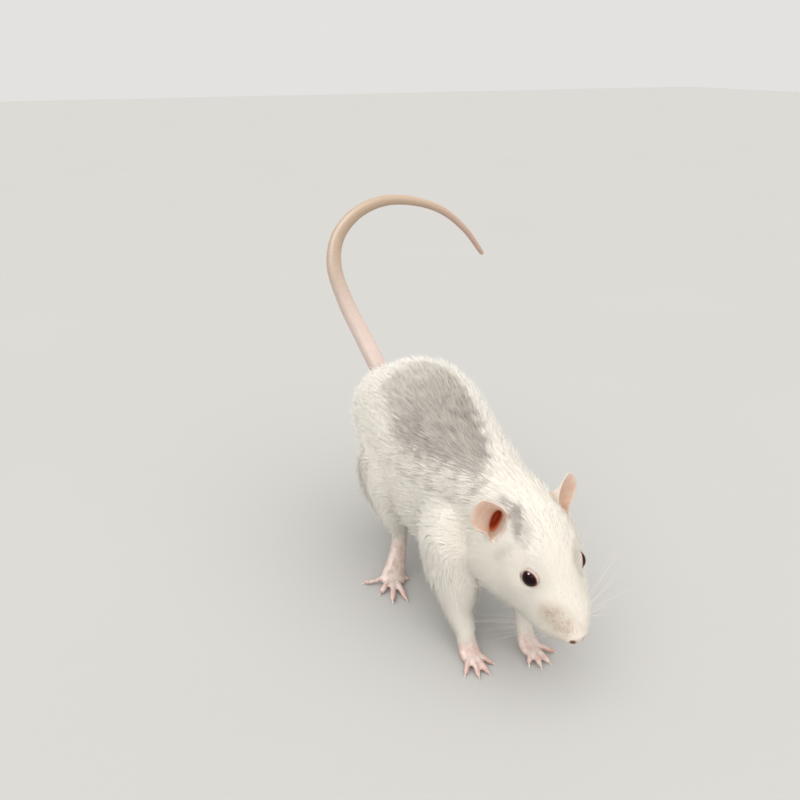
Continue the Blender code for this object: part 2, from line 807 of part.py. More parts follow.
def tail():
    """The tail in lengths, each a tapered tube, with a gap between them."""
    root = TRUNK.at(TRUNK.end())[:3]
    curve = Curve([(*root, TAIL_ROOT_RADIUS), *TAIL_ROUTE])
    for number in range(TAIL_LENGTHS):
        start = curve.end() * number / TAIL_LENGTHS + GAP / 2
        stop = curve.end() * (number + 1) / TAIL_LENGTHS - GAP / 2
        if number == 0:
            start = -TAIL_SINK
        rings = [tail_ring(curve, place) for place in places(start, stop, TAIL_RINGS)]
        if number == TAIL_LENGTHS - 1:
            rings.append(tail_ring(curve, stop + TAIL_CAP, TAIL_CAP_SCALE))
        length = add_object(f"tail_{number + 1}", shell(rings), SKIN)
        if number == 0:
            combine(length, [trunk_clearance()], "DIFFERENCE")


def centre_on_floor():
    """Moves the model so that the middle of its box is over the origin and it stands on z = 0."""
    corners = [vert.co for item in bpy.data.objects for vert in item.data.vertices]
    low = [min(corner[axis] for corner in corners) for axis in range(3)]
    high = [max(corner[axis] for corner in corners) for axis in range(3)]
    shift = Vector((-(low[0] + high[0]) / 2, -(low[1] + high[1]) / 2, -low[2]))
    for item in bpy.data.objects:
        item.data.transform(Matrix.Translation(shift))


def main():
    for item in list(bpy.data.objects):
        remove(item)
    head()
    for name in ("neck", "chest", "belly", "rump"):
        trunk_solid(name)
    for name, side in (("right", -1), ("left", 1)):
        eye(f"eye_{name}", side)
        ear(f"ear_{name}", side)
        limb(f"foreleg_{name}", FORELEGS[side])
        limb(f"hind_leg_{name}", HIND_LEGS[side])
        paw(f"forepaw_{name}", PAWS[f"forepaw_{name}"], FORELEGS[side])
        paw(f"hind_foot_{name}", PAWS[f"hind_foot_{name}"], HIND_LEGS[side])
    tail()
    centre_on_floor()


main()
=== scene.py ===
"""A young dumbo rat in its coat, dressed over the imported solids."""

import logging
import math
from dataclasses import dataclass
from enum import Enum
from typing import Callable, Dict, List, Optional, Sequence, Tuple, Union

import bmesh
import bpy
import numpy as np
from mathutils import Matrix, Vector
from mathutils.bvhtree import BVHTree
from mathutils.kdtree import KDTree


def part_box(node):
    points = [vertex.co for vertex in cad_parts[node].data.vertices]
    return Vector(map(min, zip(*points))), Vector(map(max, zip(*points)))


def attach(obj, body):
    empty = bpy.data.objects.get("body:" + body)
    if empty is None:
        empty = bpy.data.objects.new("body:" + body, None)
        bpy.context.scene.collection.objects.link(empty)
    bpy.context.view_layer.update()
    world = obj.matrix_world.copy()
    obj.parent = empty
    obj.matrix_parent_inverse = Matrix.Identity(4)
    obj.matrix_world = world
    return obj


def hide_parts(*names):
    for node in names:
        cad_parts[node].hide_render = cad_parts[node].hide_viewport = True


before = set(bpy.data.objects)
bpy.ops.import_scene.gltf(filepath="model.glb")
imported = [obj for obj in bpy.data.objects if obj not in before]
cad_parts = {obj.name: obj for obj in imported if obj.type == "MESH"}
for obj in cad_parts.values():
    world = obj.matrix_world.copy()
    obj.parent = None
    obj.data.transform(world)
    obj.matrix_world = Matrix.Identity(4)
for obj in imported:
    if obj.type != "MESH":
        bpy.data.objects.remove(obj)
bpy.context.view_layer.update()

log = logging.getLogger("rat")
Colour = Tuple[float, float, float]
Row = Tuple[float, ...]
SEED = 7
SCATTER: Colour = (1.0, 0.35, 0.2)
SIDES = {"right": -1, "left": 1}
TRUNK_NODES = ("head", "neck", "chest", "belly", "rump")
LIMB_NODES = (
    "foreleg_right", "foreleg_left", "hind_leg_right", "hind_leg_left",
    "forepaw_right", "forepaw_left", "hind_foot_right", "hind_foot_left",
)
TAIL_NODES = ("tail_1", "tail_2", "tail_3", "tail_4", "tail_5")
PAWS = (
    ((-0.0138, -0.0438), ((-0.0195, -0.0505), (-0.0158, -0.0535), (-0.0118, -0.0535),
                          (-0.0082, -0.0500)), 0.0012, 0.0017),
    ((0.0086, -0.0495), ((0.0045, -0.0560), (0.0075, -0.0590), (0.0115, -0.0585),
                         (0.0160, -0.0545)), 0.0012, 0.0017),
    ((-0.0222, 0.0085), ((-0.0335, 0.0120), (-0.0300, 0.0035), (-0.0275, -0.0030),
                         (-0.0222, -0.0045), (-0.0160, 0.0070)), 0.0014, 0.0019),
    ((0.0238, 0.0280), ((0.0330, 0.0235), (0.0305, 0.0160), (0.0262, 0.0128),
                        (0.0215, 0.0135), (0.0172, 0.0225)), 0.0014, 0.0019),
)


def unit(rows: np.ndarray) -> np.ndarray:
    """Rows of vectors brought to a length of one."""
    return rows / np.maximum(np.linalg.norm(rows, axis=-1, keepdims=True), 1e-12)


def ease(values: np.ndarray, low: float, high: float) -> np.ndarray:
    """A soft step from 0 at low to 1 at high."""
    share = np.clip((values - low) / (high - low), 0.0, 1.0)
    return share * share * (3.0 - 2.0 * share)


@dataclass(frozen=True)
class HeadAxes:
    """The head's own left, up and forward, from the tip of its nose."""

    nose: Vector
    pitch: float = 38.7
    roll: float = -3.3

    def matrix(self) -> Matrix:
        """The turn from the head's axes to the model's."""
        roll = Matrix.Rotation(math.radians(self.roll), 3, "Y")
        return roll @ Matrix.Rotation(math.radians(self.pitch), 3, "X")

    def direction(self, left: float, up: float, forward: float) -> Vector:
        """A direction given along the head's axes.

        Args:
            left: Share towards the rat's left.
            up: Share towards its crown.
            forward: Share towards its nose.

        Returns:
            The direction in the model's frame, of length one.
        """
        return (self.matrix() @ Vector((left, -forward, up))).normalized()

    def point(self, left: float, up: float, forward: float) -> Vector:
        """A place given along the head's axes from the tip of the nose.

        Args:
            left: Metres towards the rat's left.
            up: Metres towards its crown.
            forward: Metres ahead of the tip of the nose.

        Returns:
            The place in the frame that the nose is given in.
        """
        return self.nose + self.matrix() @ Vector((left, -forward, up))


EYE_PLACE = (0.0091, 0.0062, -0.0256)
DRAWN_HEAD = HeadAxes(Vector((0.0112, -0.0735, 0.0232)))
EYE_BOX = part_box("eye_right")
SHIFT = (EYE_BOX[0] + EYE_BOX[1]) / 2 - DRAWN_HEAD.point(-EYE_PLACE[0], *EYE_PLACE[1:])
HEAD = HeadAxes(DRAWN_HEAD.nose + SHIFT)


def placed(x: float, y: float, z: float) -> Vector:
    """A point of the solids' own drawing, moved to where the model stands."""
    return Vector((x, y, z)) + SHIFT


class Path:
    """A smooth run through rows of numbers, by cubic pieces with matching slopes."""

    def __init__(self, rows: Sequence[Row], knots: Optional[Sequence[float]] = None) -> None:
        """Sets the rows and where each one lies.

        Args:
            rows: The numbers to pass through, a place first where there are no knots.
            knots: Where each row lies; left out, the distance along the places.
        """
        self.rows = np.array(rows, dtype=float)
        if knots is None:
            steps = np.linalg.norm(np.diff(self.rows[:, :3], axis=0), axis=1)
            knots = np.concatenate([[0.0], np.cumsum(steps)])
        self.knots = np.array(knots, dtype=float)
        slopes = np.diff(self.rows, axis=0) / np.diff(self.knots)[:, None]
        inner = (slopes[1:] + slopes[:-1]) / 2
        self.slopes = np.vstack([slopes[:1], inner, slopes[-1:]])

    def end(self) -> float:
        """Where the last row lies."""
        return float(self.knots[-1])

    def at(self, place: float) -> List[float]:
        """The numbers at one place.

        Args:
            place: Where along the run.

        Returns:
            One number for each column of the rows.
        """
        index = int(np.clip(np.searchsorted(self.knots, place) - 1, 0, len(self.knots) - 2))
        span = self.knots[index + 1] - self.knots[index]
        t = (place - self.knots[index]) / span
        start = (1 + 2 * t) * (1 - t) ** 2 * self.rows[index]
        start_slope = t * (1 - t) ** 2 * span * self.slopes[index]
        stop = t * t * (3 - 2 * t) * self.rows[index + 1]
        stop_slope = t * t * (t - 1) * span * self.slopes[index + 1]
        return (start + start_slope + stop + stop_slope).tolist()


class Wire:
    """A shader value that takes part in sums."""

    def __init__(self, graph: "Graph", socket: bpy.types.NodeSocket) -> None:
        """Wraps one output of a node in its graph."""
        self.graph = graph
        self.socket = socket

    def __add__(self, other: "Term") -> "Wire":
        """This value plus another."""
        return self.graph.sum("ADD", self, other)

    def __radd__(self, other: "Term") -> "Wire":
        """Another value plus this one."""
        return self.graph.sum("ADD", other, self)

    def __mul__(self, other: "Term") -> "Wire":
        """This value times another."""
        return self.graph.sum("MULTIPLY", self, other)

    def __rmul__(self, other: "Term") -> "Wire":
        """Another value times this one."""
        return self.graph.sum("MULTIPLY", other, self)

    def eased(self, low: float, high: float) -> "Wire":
        """A soft step of this value.

        Args:
            low: The value that becomes 0.
            high: The value that becomes 1.

        Returns:
            The step's value.
        """
        inputs = {"Value": self, "From Min": low, "From Max": high}
        node = self.graph.add("MapRange", {"interpolation_type": "SMOOTHSTEP"}, inputs)
        return Wire(self.graph, node.outputs[0])


Term = Union[float, Wire]


class Graph:
    """The nodes of one material."""

    def __init__(self, name: str) -> None:
        """Starts an empty material under a name.

        Args:
            name: The material's name.
        """
        self.material = bpy.data.materials.new(name)
        self.material.use_nodes = True
        self.tree = self.material.node_tree
        self.tree.nodes.clear()

    def add(
        self, kind: str, settings: Optional[dict] = None, inputs: Optional[dict] = None
    ) -> bpy.types.Node:
        """Adds a node.

        Args:
            kind: The node's type, without its first words.
            settings: What is set on the node before its sockets.
            inputs: Numbers, colours or wires, by the socket's name or identifier.

        Returns:
            The node.
        """
        node = self.tree.nodes.new("ShaderNode" + kind)
        for key, value in (settings or {}).items():
            setattr(node, key, value)
        for key, value in (inputs or {}).items():
            found = [s for s in node.inputs if s.identifier == key] or [node.inputs[key]]
            if isinstance(value, Wire):
                self.tree.links.new(value.socket, found[0])
            elif isinstance(value, tuple) and found[0].type == "RGBA":
                found[0].default_value = (*value, 1.0)
            else:
                found[0].default_value = value
        return node

    def sum(self, operation: str, first: Term, second: Term) -> Wire:
        """One step of arithmetic.

        Args:
            operation: The Math node's operation.
            first: The value it starts from.
            second: The value that it joins.

        Returns:
            The result.
        """
        inputs = {"Value": first, "Value_001": second}
        return Wire(self, self.add("Math", {"operation": operation}, inputs).outputs[0])

    def place(self) -> Wire:
        """The object coordinates."""
        return Wire(self, self.add("TexCoord").outputs["Object"])

    def value(self, name: str) -> Wire:
        """A number that the mesh carries under a name."""
        return Wire(self, self.add("Attribute", {"attribute_name": name}).outputs["Fac"])

    def noise(self, scale: float, detail: float = 3.0) -> Wire:
        """Cloudy noise from 0 to 1.

        Args:
            scale: Cycles in a metre.
            detail: How many finer layers it has.

        Returns:
            The noise's value.
        """
        inputs = {"Vector": self.place(), "Scale": scale, "Detail": detail}
        return Wire(self, self.add("TexNoise", {}, inputs).outputs[0])

    def cells(self, scale: float, feature: str = "F1") -> Wire:
        """The distance to scattered points, for creases and pores.

        Args:
            scale: Cells in a metre.
            feature: Which distance it gives.

        Returns:
            The distance's value.
        """
        inputs = {"Vector": self.place(), "Scale": scale}
        return Wire(self, self.add("TexVoronoi", {"feature": feature}, inputs).outputs["Distance"])

    def blend(
        self, first: Union[Colour, Wire], second: Union[Colour, Wire], share: Term,
        way: str = "MIX",
    ) -> Wire:
        """Mixes two colours.

        Args:
            first: The colour at share 0.
            second: The colour at share 1.
            share: How much of the second shows.
            way: The Mix node's blend type.

        Returns:
            The mixed colour.
        """
        settings = {"data_type": "RGBA", "blend_type": way}
        inputs = {"Factor_Float": share, "A_Color": first, "B_Color": second}
        node = self.add("Mix", settings, inputs)
        return Wire(self, [s for s in node.outputs if s.identifier == "Result_Color"][0])

    def relief(self, height: Wire, depth: float) -> Wire:
        """A bump.

        Args:
            height: The relief, from 0 to 1.
            depth: Its full depth in metres.

        Returns:
            The normal.
        """
        inputs = {"Height": height, "Distance": depth, "Strength": 1.0}
        return Wire(self, self.add("Bump", {}, inputs).outputs[0])

    def surface(self, **sockets: Union[float, tuple, Wire]) -> bpy.types.Material:
        """Ends the graph in a Principled shader.

        Args:
            sockets: The shader's inputs, with spaces written as underscores.

        Returns:
            The finished material.
        """
        named = {key.replace("_", " "): value for key, value in sockets.items()}
        shader = self.add("BsdfPrincipled", {}, named)
        self.add("OutputMaterial", {}, {"Surface": Wire(self, shader.outputs[0])})
        return self.material


@dataclass(frozen=True)
class FurFinish:
    """Short soft hair: white with warmer roots that also carry painted shade, painted shade on the
    muzzle, and a mottled warm grey where the coat is marked.
    """

    # The root colour is the hair's warmer base, also darkened as painted shade deep in the coat.
    root: Colour = (0.93, 0.87, 0.775)
    tip: Colour = (0.97, 0.935, 0.86)
    dark_grey: Colour = (0.385, 0.353, 0.323)
    light_grey: Colour = (0.55, 0.502, 0.452)
    # The colour of the painted shade of the whisker pad's folds on the muzzle.
    muzzle: Colour = (0.60, 0.485, 0.375)

    def material(self) -> bpy.types.Material:
        """The coat's material, read from what each lock carries.

        Returns:
            The material.
        """
        graph = Graph("fur")
        along = graph.value("along")
        mottle = graph.noise(210.0, 4.0).eased(0.32, 0.70)
        # Towards the roots the white warms and darkens: partly the hair's own tint, partly painted
        # shade.
        white = graph.blend(self.root, self.tip, along.eased(0.0, 0.7))
        mottle = mottle * 0.8 + graph.value("chance") * 0.2
        grey = graph.blend(self.dark_grey, self.light_grey, mottle)
        # Painted shade of the whisker pad's folds on the muzzle, broken into streaks by noise.
        dusk = graph.noise(640.0, 3.0).eased(0.3, 0.7) * 0.4 + 0.6
        colour = graph.blend(white, self.muzzle, graph.value("dusk") * dusk)
        colour = graph.blend(colour, grey, graph.value("grey"))
        chance = graph.value("chance") * 0.06 + 0.94
        shade = graph.add("CombineColor", {}, {"Red": chance, "Green": chance, "Blue": chance})
        colour = graph.blend(colour, Wire(graph, shade.outputs[0]), 1.0, "MULTIPLY")
        return graph.surface(
            Base_Color=colour, Roughness=0.62, Specular_IOR_Level=0.3,
            Sheen_Weight=0.3, Sheen_Roughness=0.45,
        )


@dataclass(frozen=True)
class HideFinish:
    """Skin: pale under the coat, pink and creased on the paws and the nose, with painted shade in
    the nostrils.
    """

    under: Colour = (0.82, 0.76, 0.70)
    pink: Colour = (0.60, 0.44, 0.385)
    flush: Colour = (0.47, 0.18, 0.14)
    pale: Colour = (0.69, 0.585, 0.545)
    grey: Colour = (0.46, 0.43, 0.41)
    # Painted shade in the nostril openings.
    dark: Colour = (0.15, 0.045, 0.02)

    def material(self) -> bpy.types.Material:
        """The skin's material.

        Returns:
            The material.
        """
        graph = Graph("skin")
        cloud = graph.noise(420.0, 4.0)
        bare = graph.blend(self.pink, self.pale, cloud.eased(0.35, 0.65))
        bare = graph.blend(bare, self.flush, graph.value("flush"))
        colour = graph.blend(self.under, self.grey, graph.value("grey"))
        colour = graph.blend(colour, bare, graph.value("bare"))
        # Painted shade darkens the nostril openings.
        colour = graph.blend(colour, self.dark, graph.value("pit"))
        creases = graph.cells(5200.0, "DISTANCE_TO_EDGE").eased(0.0, 0.25)
        creases = creases * 0.5 + graph.noise(1600.0, 5.0)
        normal = graph.relief(creases * graph.value("bare"), 0.00003)
        return graph.surface(
            Base_Color=colour, Roughness=0.5, Normal=normal, Specular_IOR_Level=0.4,
            Subsurface_Weight=0.25, Subsurface_Scale=0.002,
            Subsurface_Radius=SCATTER,
        )


@dataclass(frozen=True)
class EarFinish:
    """Thin bare ear skin, deep red-orange in the opening and tan-pink at the rim."""

    deep: Colour = (0.40, 0.050, 0.012)
    warm: Colour = (0.58, 0.17, 0.070)
    dish: Colour = (0.61, 0.47, 0.375)
    rim: Colour = (0.69, 0.57, 0.50)
    back: Colour = (0.76, 0.67, 0.60)

    def material(self) -> bpy.types.Material:
        """The ear's material, by the share of the way to its rim.

        Returns:
            The material.
        """
        graph = Graph("ear_skin")
        share = graph.value("share")
        cloud = graph.noise(260.0, 4.0)
        colour = graph.blend(self.deep, self.warm, share.eased(-0.35, -0.02))
        colour = graph.blend(colour, self.dish, (share + cloud * 0.1).eased(0.02, 0.24))
        colour = graph.blend(colour, self.rim, (share + cloud * 0.2).eased(0.75, 1.1))
        fore = graph.value("fore") * (share + cloud * 0.2).eased(0.1, 0.7)
        colour = graph.blend(colour, self.back, fore)
        veins = graph.noise(300.0, 6.0).eased(0.56, 0.50)
        veins = veins * graph.noise(310.0, 6.0).eased(0.44, 0.50)
        colour = graph.blend(colour, self.warm, veins * share.eased(0.15, 0.5) * 0.16)
        colour = graph.blend(colour, self.back, graph.value("behind") * share.eased(0.0, 0.3))
        normal = graph.relief(graph.noise(2600.0, 2.0), 0.00004)
        return graph.surface(
            Base_Color=colour, Roughness=0.5, Normal=normal, Specular_IOR_Level=0.35,
            Subsurface_Weight=0.2, Subsurface_Scale=0.002,
            Subsurface_Radius=SCATTER,
        )


@dataclass(frozen=True)
class TailFinish:
    """Bare tail skin with rings of fine scales, pink at both ends and tan between."""

    root: Colour = (0.65, 0.53, 0.48)
    middle: Colour = (0.49, 0.37, 0.27)
    tip: Colour = (0.52, 0.37, 0.305)
    seam: Colour = (0.34, 0.235, 0.165)

    def material(self) -> bpy.types.Material:
        """The tail's material, by its share along the tail and its ring.

        Returns:
            The material.
        """
        graph = Graph("tail_skin")
        along = graph.value("along")
        colour = graph.blend(self.root, self.middle, along.eased(0.14, 0.46))
        colour = graph.blend(colour, self.tip, along.eased(0.62, 0.95))
        seam = graph.value("seam") * (graph.noise(900.0, 2.0) * 0.6 + 0.3)
        colour = graph.blend(colour, self.seam, seam * 0.6)
        normal = graph.relief(graph.cells(1900.0), 0.00005)
        return graph.surface(
            Base_Color=colour, Roughness=0.52, Normal=normal, Specular_IOR_Level=0.4,
            Subsurface_Weight=0.2, Subsurface_Scale=0.0015,
            Subsurface_Radius=(1.0, 0.4, 0.25),
        )


@dataclass(frozen=True)
class EyeFinish:
    """A wet dark ruby eye."""

    deep: Colour = (0.006, 0.001, 0.0015)
    ruby: Colour = (0.024, 0.002, 0.004)

    def material(self) -> bpy.types.Material:
        """The eye's material: a black-red pupil in a dark ruby iris.

        Returns:
            The material.
        """
        graph = Graph("eye")
        rim = graph.value("rim")
        fleck = graph.noise(1500.0, 3.0)
        colour = graph.blend(self.deep, self.ruby, rim.eased(0.28, 0.62) * (fleck * 0.7 + 0.35))
        return graph.surface(
            Base_Color=colour, Roughness=0.07, Specular_IOR_Level=0.22, IOR=1.38,
        )


@dataclass(frozen=True)
class LidFinish:
    """The bare rim of the lids, with painted shade where it meets the eye and pink skin outside
    darkened by painted shade.
    """

    # Painted shade in the crease where the lids meet the eye.
    inner: Colour = (0.09, 0.025, 0.025)
    # Pink lid skin darkened by painted shade, to sit with the shaded fur round the eye.
    shaded_outer: Colour = (0.62, 0.49, 0.42)
    corner: Colour = (0.42, 0.12, 0.11)

    def material(self) -> bpy.types.Material:
        """The lid's material, by its share from the eye outwards.

        Returns:
            The material.
        """
        graph = Graph("lid_skin")
        edge = graph.value("edge")
        # Painted shade runs from the eye outwards into the darkened pink skin.
        colour = graph.blend(self.inner, self.shaded_outer, edge.eased(0.10, 0.42))
        colour = graph.blend(colour, self.corner, graph.value("corner") * 0.8)
        normal = graph.relief(graph.noise(3200.0, 2.0), 0.00003)
        return graph.surface(
            Base_Color=colour, Roughness=0.5, Normal=normal, Specular_IOR_Level=0.25,
            Subsurface_Weight=0.2, Subsurface_Scale=0.001,
        )


@dataclass(frozen=True)
class PlainFinish:
    """A horn-like finish that clears towards the tip, for claws and whiskers."""

    name: str
    root: Colour
    tip: Colour
    roughness: float

    def material(self) -> bpy.types.Material:
        """The material, by the share along each piece.

        Returns:
            The material.
        """
        graph = Graph(self.name)
        streaks = graph.noise(1800.0, 2.0) * 0.25
        colour = graph.blend(self.root, self.tip, (graph.value("along") + streaks).eased(0.0, 1.1))
        return graph.surface(Base_Color=colour, Roughness=self.roughness, Specular_IOR_Level=0.5)


def linked(name: str, data: bpy.types.ID) -> bpy.types.Object:
    """Puts an object in the scene for some data.

    Args:
        name: The object's name.
        data: A mesh, a light or a camera.

    Returns:
        The object.
    """
    item = bpy.data.objects.new(name, data)
    bpy.context.scene.collection.objects.link(item)
    return item


def meshed(form: bmesh.types.BMesh, name: str) -> bpy.types.Mesh:
    """Turns a bmesh into a mesh.

    Args:
        form: The bmesh, which is freed.
        name: The mesh's name.

    Returns:
        The mesh.
    """
    mesh = bpy.data.meshes.new(name)
    form.to_mesh(mesh)
    form.free()
    return mesh


def add_piece(
    name: str, mesh: bpy.types.Mesh, material: bpy.types.Material,
    stands_for: Sequence[str] = (),
) -> bpy.types.Object:
    """Puts a mesh in the scene as a piece that rides with the model.

    Args:
        name: The piece's name.
        mesh: Its mesh, in the model's frame.
        material: Its finish.
        stands_for: The solids that it is shown instead of.

    Returns:
        The piece's object.
    """
    mesh.name = name
    mesh.materials.clear()
    mesh.materials.append(material)
    piece = linked(name, mesh)
    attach(piece, "root")
    if stands_for:
        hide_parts(*stands_for)
    log.info("%s: %d faces", name, len(mesh.polygons))
    return piece


def finished(form: bmesh.types.BMesh) -> bpy.types.Mesh:
    """Turns a bmesh that faces outwards into a smooth mesh.

    Args:
        form: The bmesh, which is freed.

    Returns:
        The mesh.
    """
    form.normal_update()
    bmesh.ops.recalc_face_normals(form, faces=form.faces)
    mesh = meshed(form, "form")
    mesh.shade_smooth()
    return mesh


def sheet(
    along: int, around: int, point: Callable[[float, float], Vector],
    values: Dict[str, Callable[[float, float], float]],
) -> bmesh.types.BMesh:
    """A sheet over a grid, with every corner moved to its place and its seam closed.

    Args:
        along: Steps along the sheet.
        around: Steps round it.
        point: Gives the place for a share along and a share round.
        values: What each corner carries, by name, from the same two shares.

    Returns:
        The sheet's bmesh.
    """
    form = bmesh.new()
    bmesh.ops.create_grid(form, x_segments=around, y_segments=along, size=1.0)
    layers = {name: form.verts.layers.float.new(name) for name in values}
    for vert in form.verts:
        u, v = (vert.co.y + 1) / 2, (vert.co.x + 1) / 2
        for name, work in values.items():
            vert[layers[name]] = work(u, v)
        vert.co = point(u, v)
    bmesh.ops.remove_doubles(form, verts=form.verts, dist=1e-7)
    return form


def thickened(form: bmesh.types.BMesh, thickness: float) -> bpy.types.Mesh:
    """Gives a sheet a wall.

    Args:
        form: The sheet's bmesh, which is freed.
        thickness: The wall's thickness.

    Returns:
        The closed mesh.
    """
    bmesh.ops.recalc_face_normals(form, faces=form.faces)
    whole = form.faces[:] + form.edges[:] + form.verts[:]
    bmesh.ops.solidify(form, geom=whole, thickness=thickness)
    return finished(form)


def read(rows: bpy.types.bpy_prop_collection, name: str, width: int, kind: type) -> np.ndarray:
    """Reads one property of every item of a collection.

    Args:
        rows: The collection.
        name: The property.
        width: How many numbers each item has.
        kind: Their type.

    Returns:
        One row for each item.
    """
    values = np.empty(len(rows) * width, dtype=kind)
    rows.foreach_get(name, values)
    return values.reshape(-1, width)


def vertex_places(mesh: bpy.types.Mesh) -> np.ndarray:
    """The places of a mesh's vertices, one row each."""
    return read(mesh.vertices, "co", 3, float)


def vertex_normals(mesh: bpy.types.Mesh) -> np.ndarray:
    """The normals of a mesh's vertices, one row each."""
    return read(mesh.vertex_normals, "vector", 3, float)


def carry(mesh: bpy.types.Mesh, name: str, values: np.ndarray) -> None:
    """Stores one number for each vertex of a mesh under a name."""
    layer = mesh.attributes.new(name, "FLOAT", "POINT")
    layer.data.foreach_set("value", values.astype(np.float32))


def relaxed(
    places: np.ndarray, edges: np.ndarray, strength: np.ndarray, rounds: int
) -> np.ndarray:
    """Smooths a mesh by drawing each vertex to the middle of those around it.

    Args:
        places: The vertices' places.
        edges: Pairs of vertices.
        strength: How far each vertex goes in one round, from 0 to 1.
        rounds: How many rounds there are.

    Returns:
        The new places.
    """
    ends = np.concatenate([edges, edges[:, ::-1]])
    count = np.bincount(ends[:, 0], minlength=len(places))[:, None]
    for _ in range(rounds):
        middle = np.stack(
            [np.bincount(ends[:, 0], places[ends[:, 1], k], len(places)) for k in range(3)], 1
        )
        places = places + strength[:, None] * (middle / count - places)
    return places


@dataclass
class CoatMap:
    """How the hair lies, how long it is and how deep it stands, anywhere on the rat.

    Each row is a place inside the trunk or a limb, in the order that the hair runs, with the
    thickness there, the hair's length, its lift from the skin in degrees, its depth and how
    bare the skin is.
    """

    head_rows: Tuple[Row, ...] = (
        (0.0000, -0.0010, 0.0030, 0.0009, 26, 0.00005, 0),
        (0.0040, -0.0010, 0.0055, 0.0015, 23, 0.00015, 0),
        (0.0090, -0.0015, 0.0090, 0.0021, 19, 0.0003, 0),
        (0.0170, -0.0020, 0.0120, 0.0027, 17, 0.0005, 0),
        (0.0260, -0.0020, 0.0150, 0.0034, 16, 0.0008, 0),
        (0.0360, -0.0025, 0.0175, 0.0044, 15, 0.0010, 0),
        (0.0470, -0.0030, 0.0190, 0.0054, 16, 0.0012, 0),
    )
    body_rows: Tuple[Row, ...] = (
        (0.0060, -0.0225, 0.0500, 0.0220, 0.0062, 17, 0.0015, 0),
        (0.0030, -0.0060, 0.0500, 0.0270, 0.0070, 18, 0.0017, 0),
        (0.0020, 0.0100, 0.0520, 0.0290, 0.0074, 20, 0.0019, 0),
        (0.0022, 0.0260, 0.0560, 0.0300, 0.0078, 19, 0.0020, 0),
        (0.0025, 0.0420, 0.0590, 0.0280, 0.0082, 18, 0.0020, 0),
        (0.0018, 0.0570, 0.0630, 0.0220, 0.0078, 18, 0.0018, 0),
        (0.0000, 0.0690, 0.0690, 0.0110, 0.0055, 17, 0.0012, 0),
        (-0.0005, 0.0750, 0.0730, 0.0045, 0.0030, 15, 0.0006, 0),
    )
    limb_rows: Tuple[Tuple[Row, ...], ...] = (
        (
            (-0.0128, -0.0195, 0.0380, 0.0115, 0.0060, 16, 0.0014, 0),
            (-0.0108, -0.0245, 0.0270, 0.0110, 0.0048, 15, 0.0010, 0),
            (-0.0120, -0.0290, 0.0200, 0.0088, 0.0038, 16, 0.0008, 0),
            (-0.0134, -0.0330, 0.0145, 0.0057, 0.0028, 15, 0.0005, 0),
            (-0.0132, -0.0385, 0.0085, 0.0039, 0.0018, 15, 0.0001, 0.15),
            (-0.0137, -0.0430, 0.0030, 0.0042, 0.0003, 12, 0.0, 1),
            (-0.0140, -0.0480, 0.0015, 0.0042, 0.0, 12, 0.0, 1),
        ),
        (
            (0.0175, -0.0195, 0.0380, 0.0105, 0.0062, 20, 0.0015, 0),
            (0.0155, -0.0270, 0.0270, 0.0095, 0.0046, 18, 0.0010, 0),
            (0.0115, -0.0375, 0.0165, 0.0046, 0.0024, 15, 0.0004, 0),
            (0.0092, -0.0440, 0.0085, 0.0032, 0.0017, 15, 0.0001, 0.2),
            (0.0086, -0.0490, 0.0030, 0.0042, 0.0002, 12, 0.0, 1),
            (0.0092, -0.0530, 0.0015, 0.0042, 0.0, 12, 0.0, 1),
        ),
        (
            (-0.0172, 0.0320, 0.0500, 0.0140, 0.0072, 21, 0.0018, 0),
            (-0.0208, 0.0220, 0.0395, 0.0120, 0.0062, 20, 0.0014, 0),
            (-0.0195, 0.0165, 0.0300, 0.0068, 0.0044, 18, 0.0008, 0),
            (-0.0150, 0.0171, 0.0230, 0.0044, 0.0014, 15, -0.0001, 0.4),
            (-0.0148, 0.0167, 0.0195, 0.0043, 0.0003, 15, -0.0002, 1),
            (-0.0162, 0.0151, 0.0140, 0.0040, 0.0, 12, -0.0002, 1),
            (-0.0222, 0.0085, 0.0040, 0.0050, 0.0, 12, 0.0, 1),
            (-0.0245, 0.0030, 0.0015, 0.0060, 0.0, 12, 0.0, 1),
        ),
        (
            (0.0205, 0.0345, 0.0500, 0.0140, 0.0072, 21, 0.0018, 0),
            (0.0240, 0.0290, 0.0385, 0.0120, 0.0062, 20, 0.0014, 0),
            (0.0235, 0.0340, 0.0260, 0.0072, 0.0044, 18, 0.0008, 0),
            (0.0224, 0.0425, 0.0140, 0.0042, 0.0020, 15, 0.0002, 0.2),
            (0.0222, 0.0450, 0.0075, 0.0042, 0.0003, 12, 0.0, 1),
            (0.0230, 0.0350, 0.0031, 0.0046, 0.0, 12, 0.0, 1),
            (0.0240, 0.0230, 0.0015, 0.0060, 0.0, 12, 0.0, 1),
        ),
    )
    drop: float = 0.22
    sharpness: float = 7.0
    spacing: float = 0.0028

    def __post_init__(self) -> None:
        """Gathers the rows, close together, each with the way to the next."""
        head = [(*HEAD.point(0, up, -behind), *rest) for behind, up, *rest in self.head_rows]
        body, *limbs = (
            [(*placed(*row[:3]), *row[3:]) for row in rows]
            for rows in (self.body_rows, *self.limb_rows)
        )
        runs = [head + body, *limbs]
        for (x, y), tips, radius, _ in PAWS:
            for tip in tips:
                ends = [placed(x, y, radius), placed(*tip, radius)]
                runs.append([(*end, radius, 0.0, 12, 0.0, 1) for end in ends])
        gathered, ways = [], []
        for number, run in enumerate(runs):
            rows = self.filled(np.array(run, dtype=float))
            way = unit(np.gradient(rows[:, :3], axis=0))
            if number == 0:
                way[:, 2] -= self.drop
            gathered.append(rows)
            ways.append(way)
        self.rows = np.concatenate(gathered)
        self.ways = np.concatenate(ways)

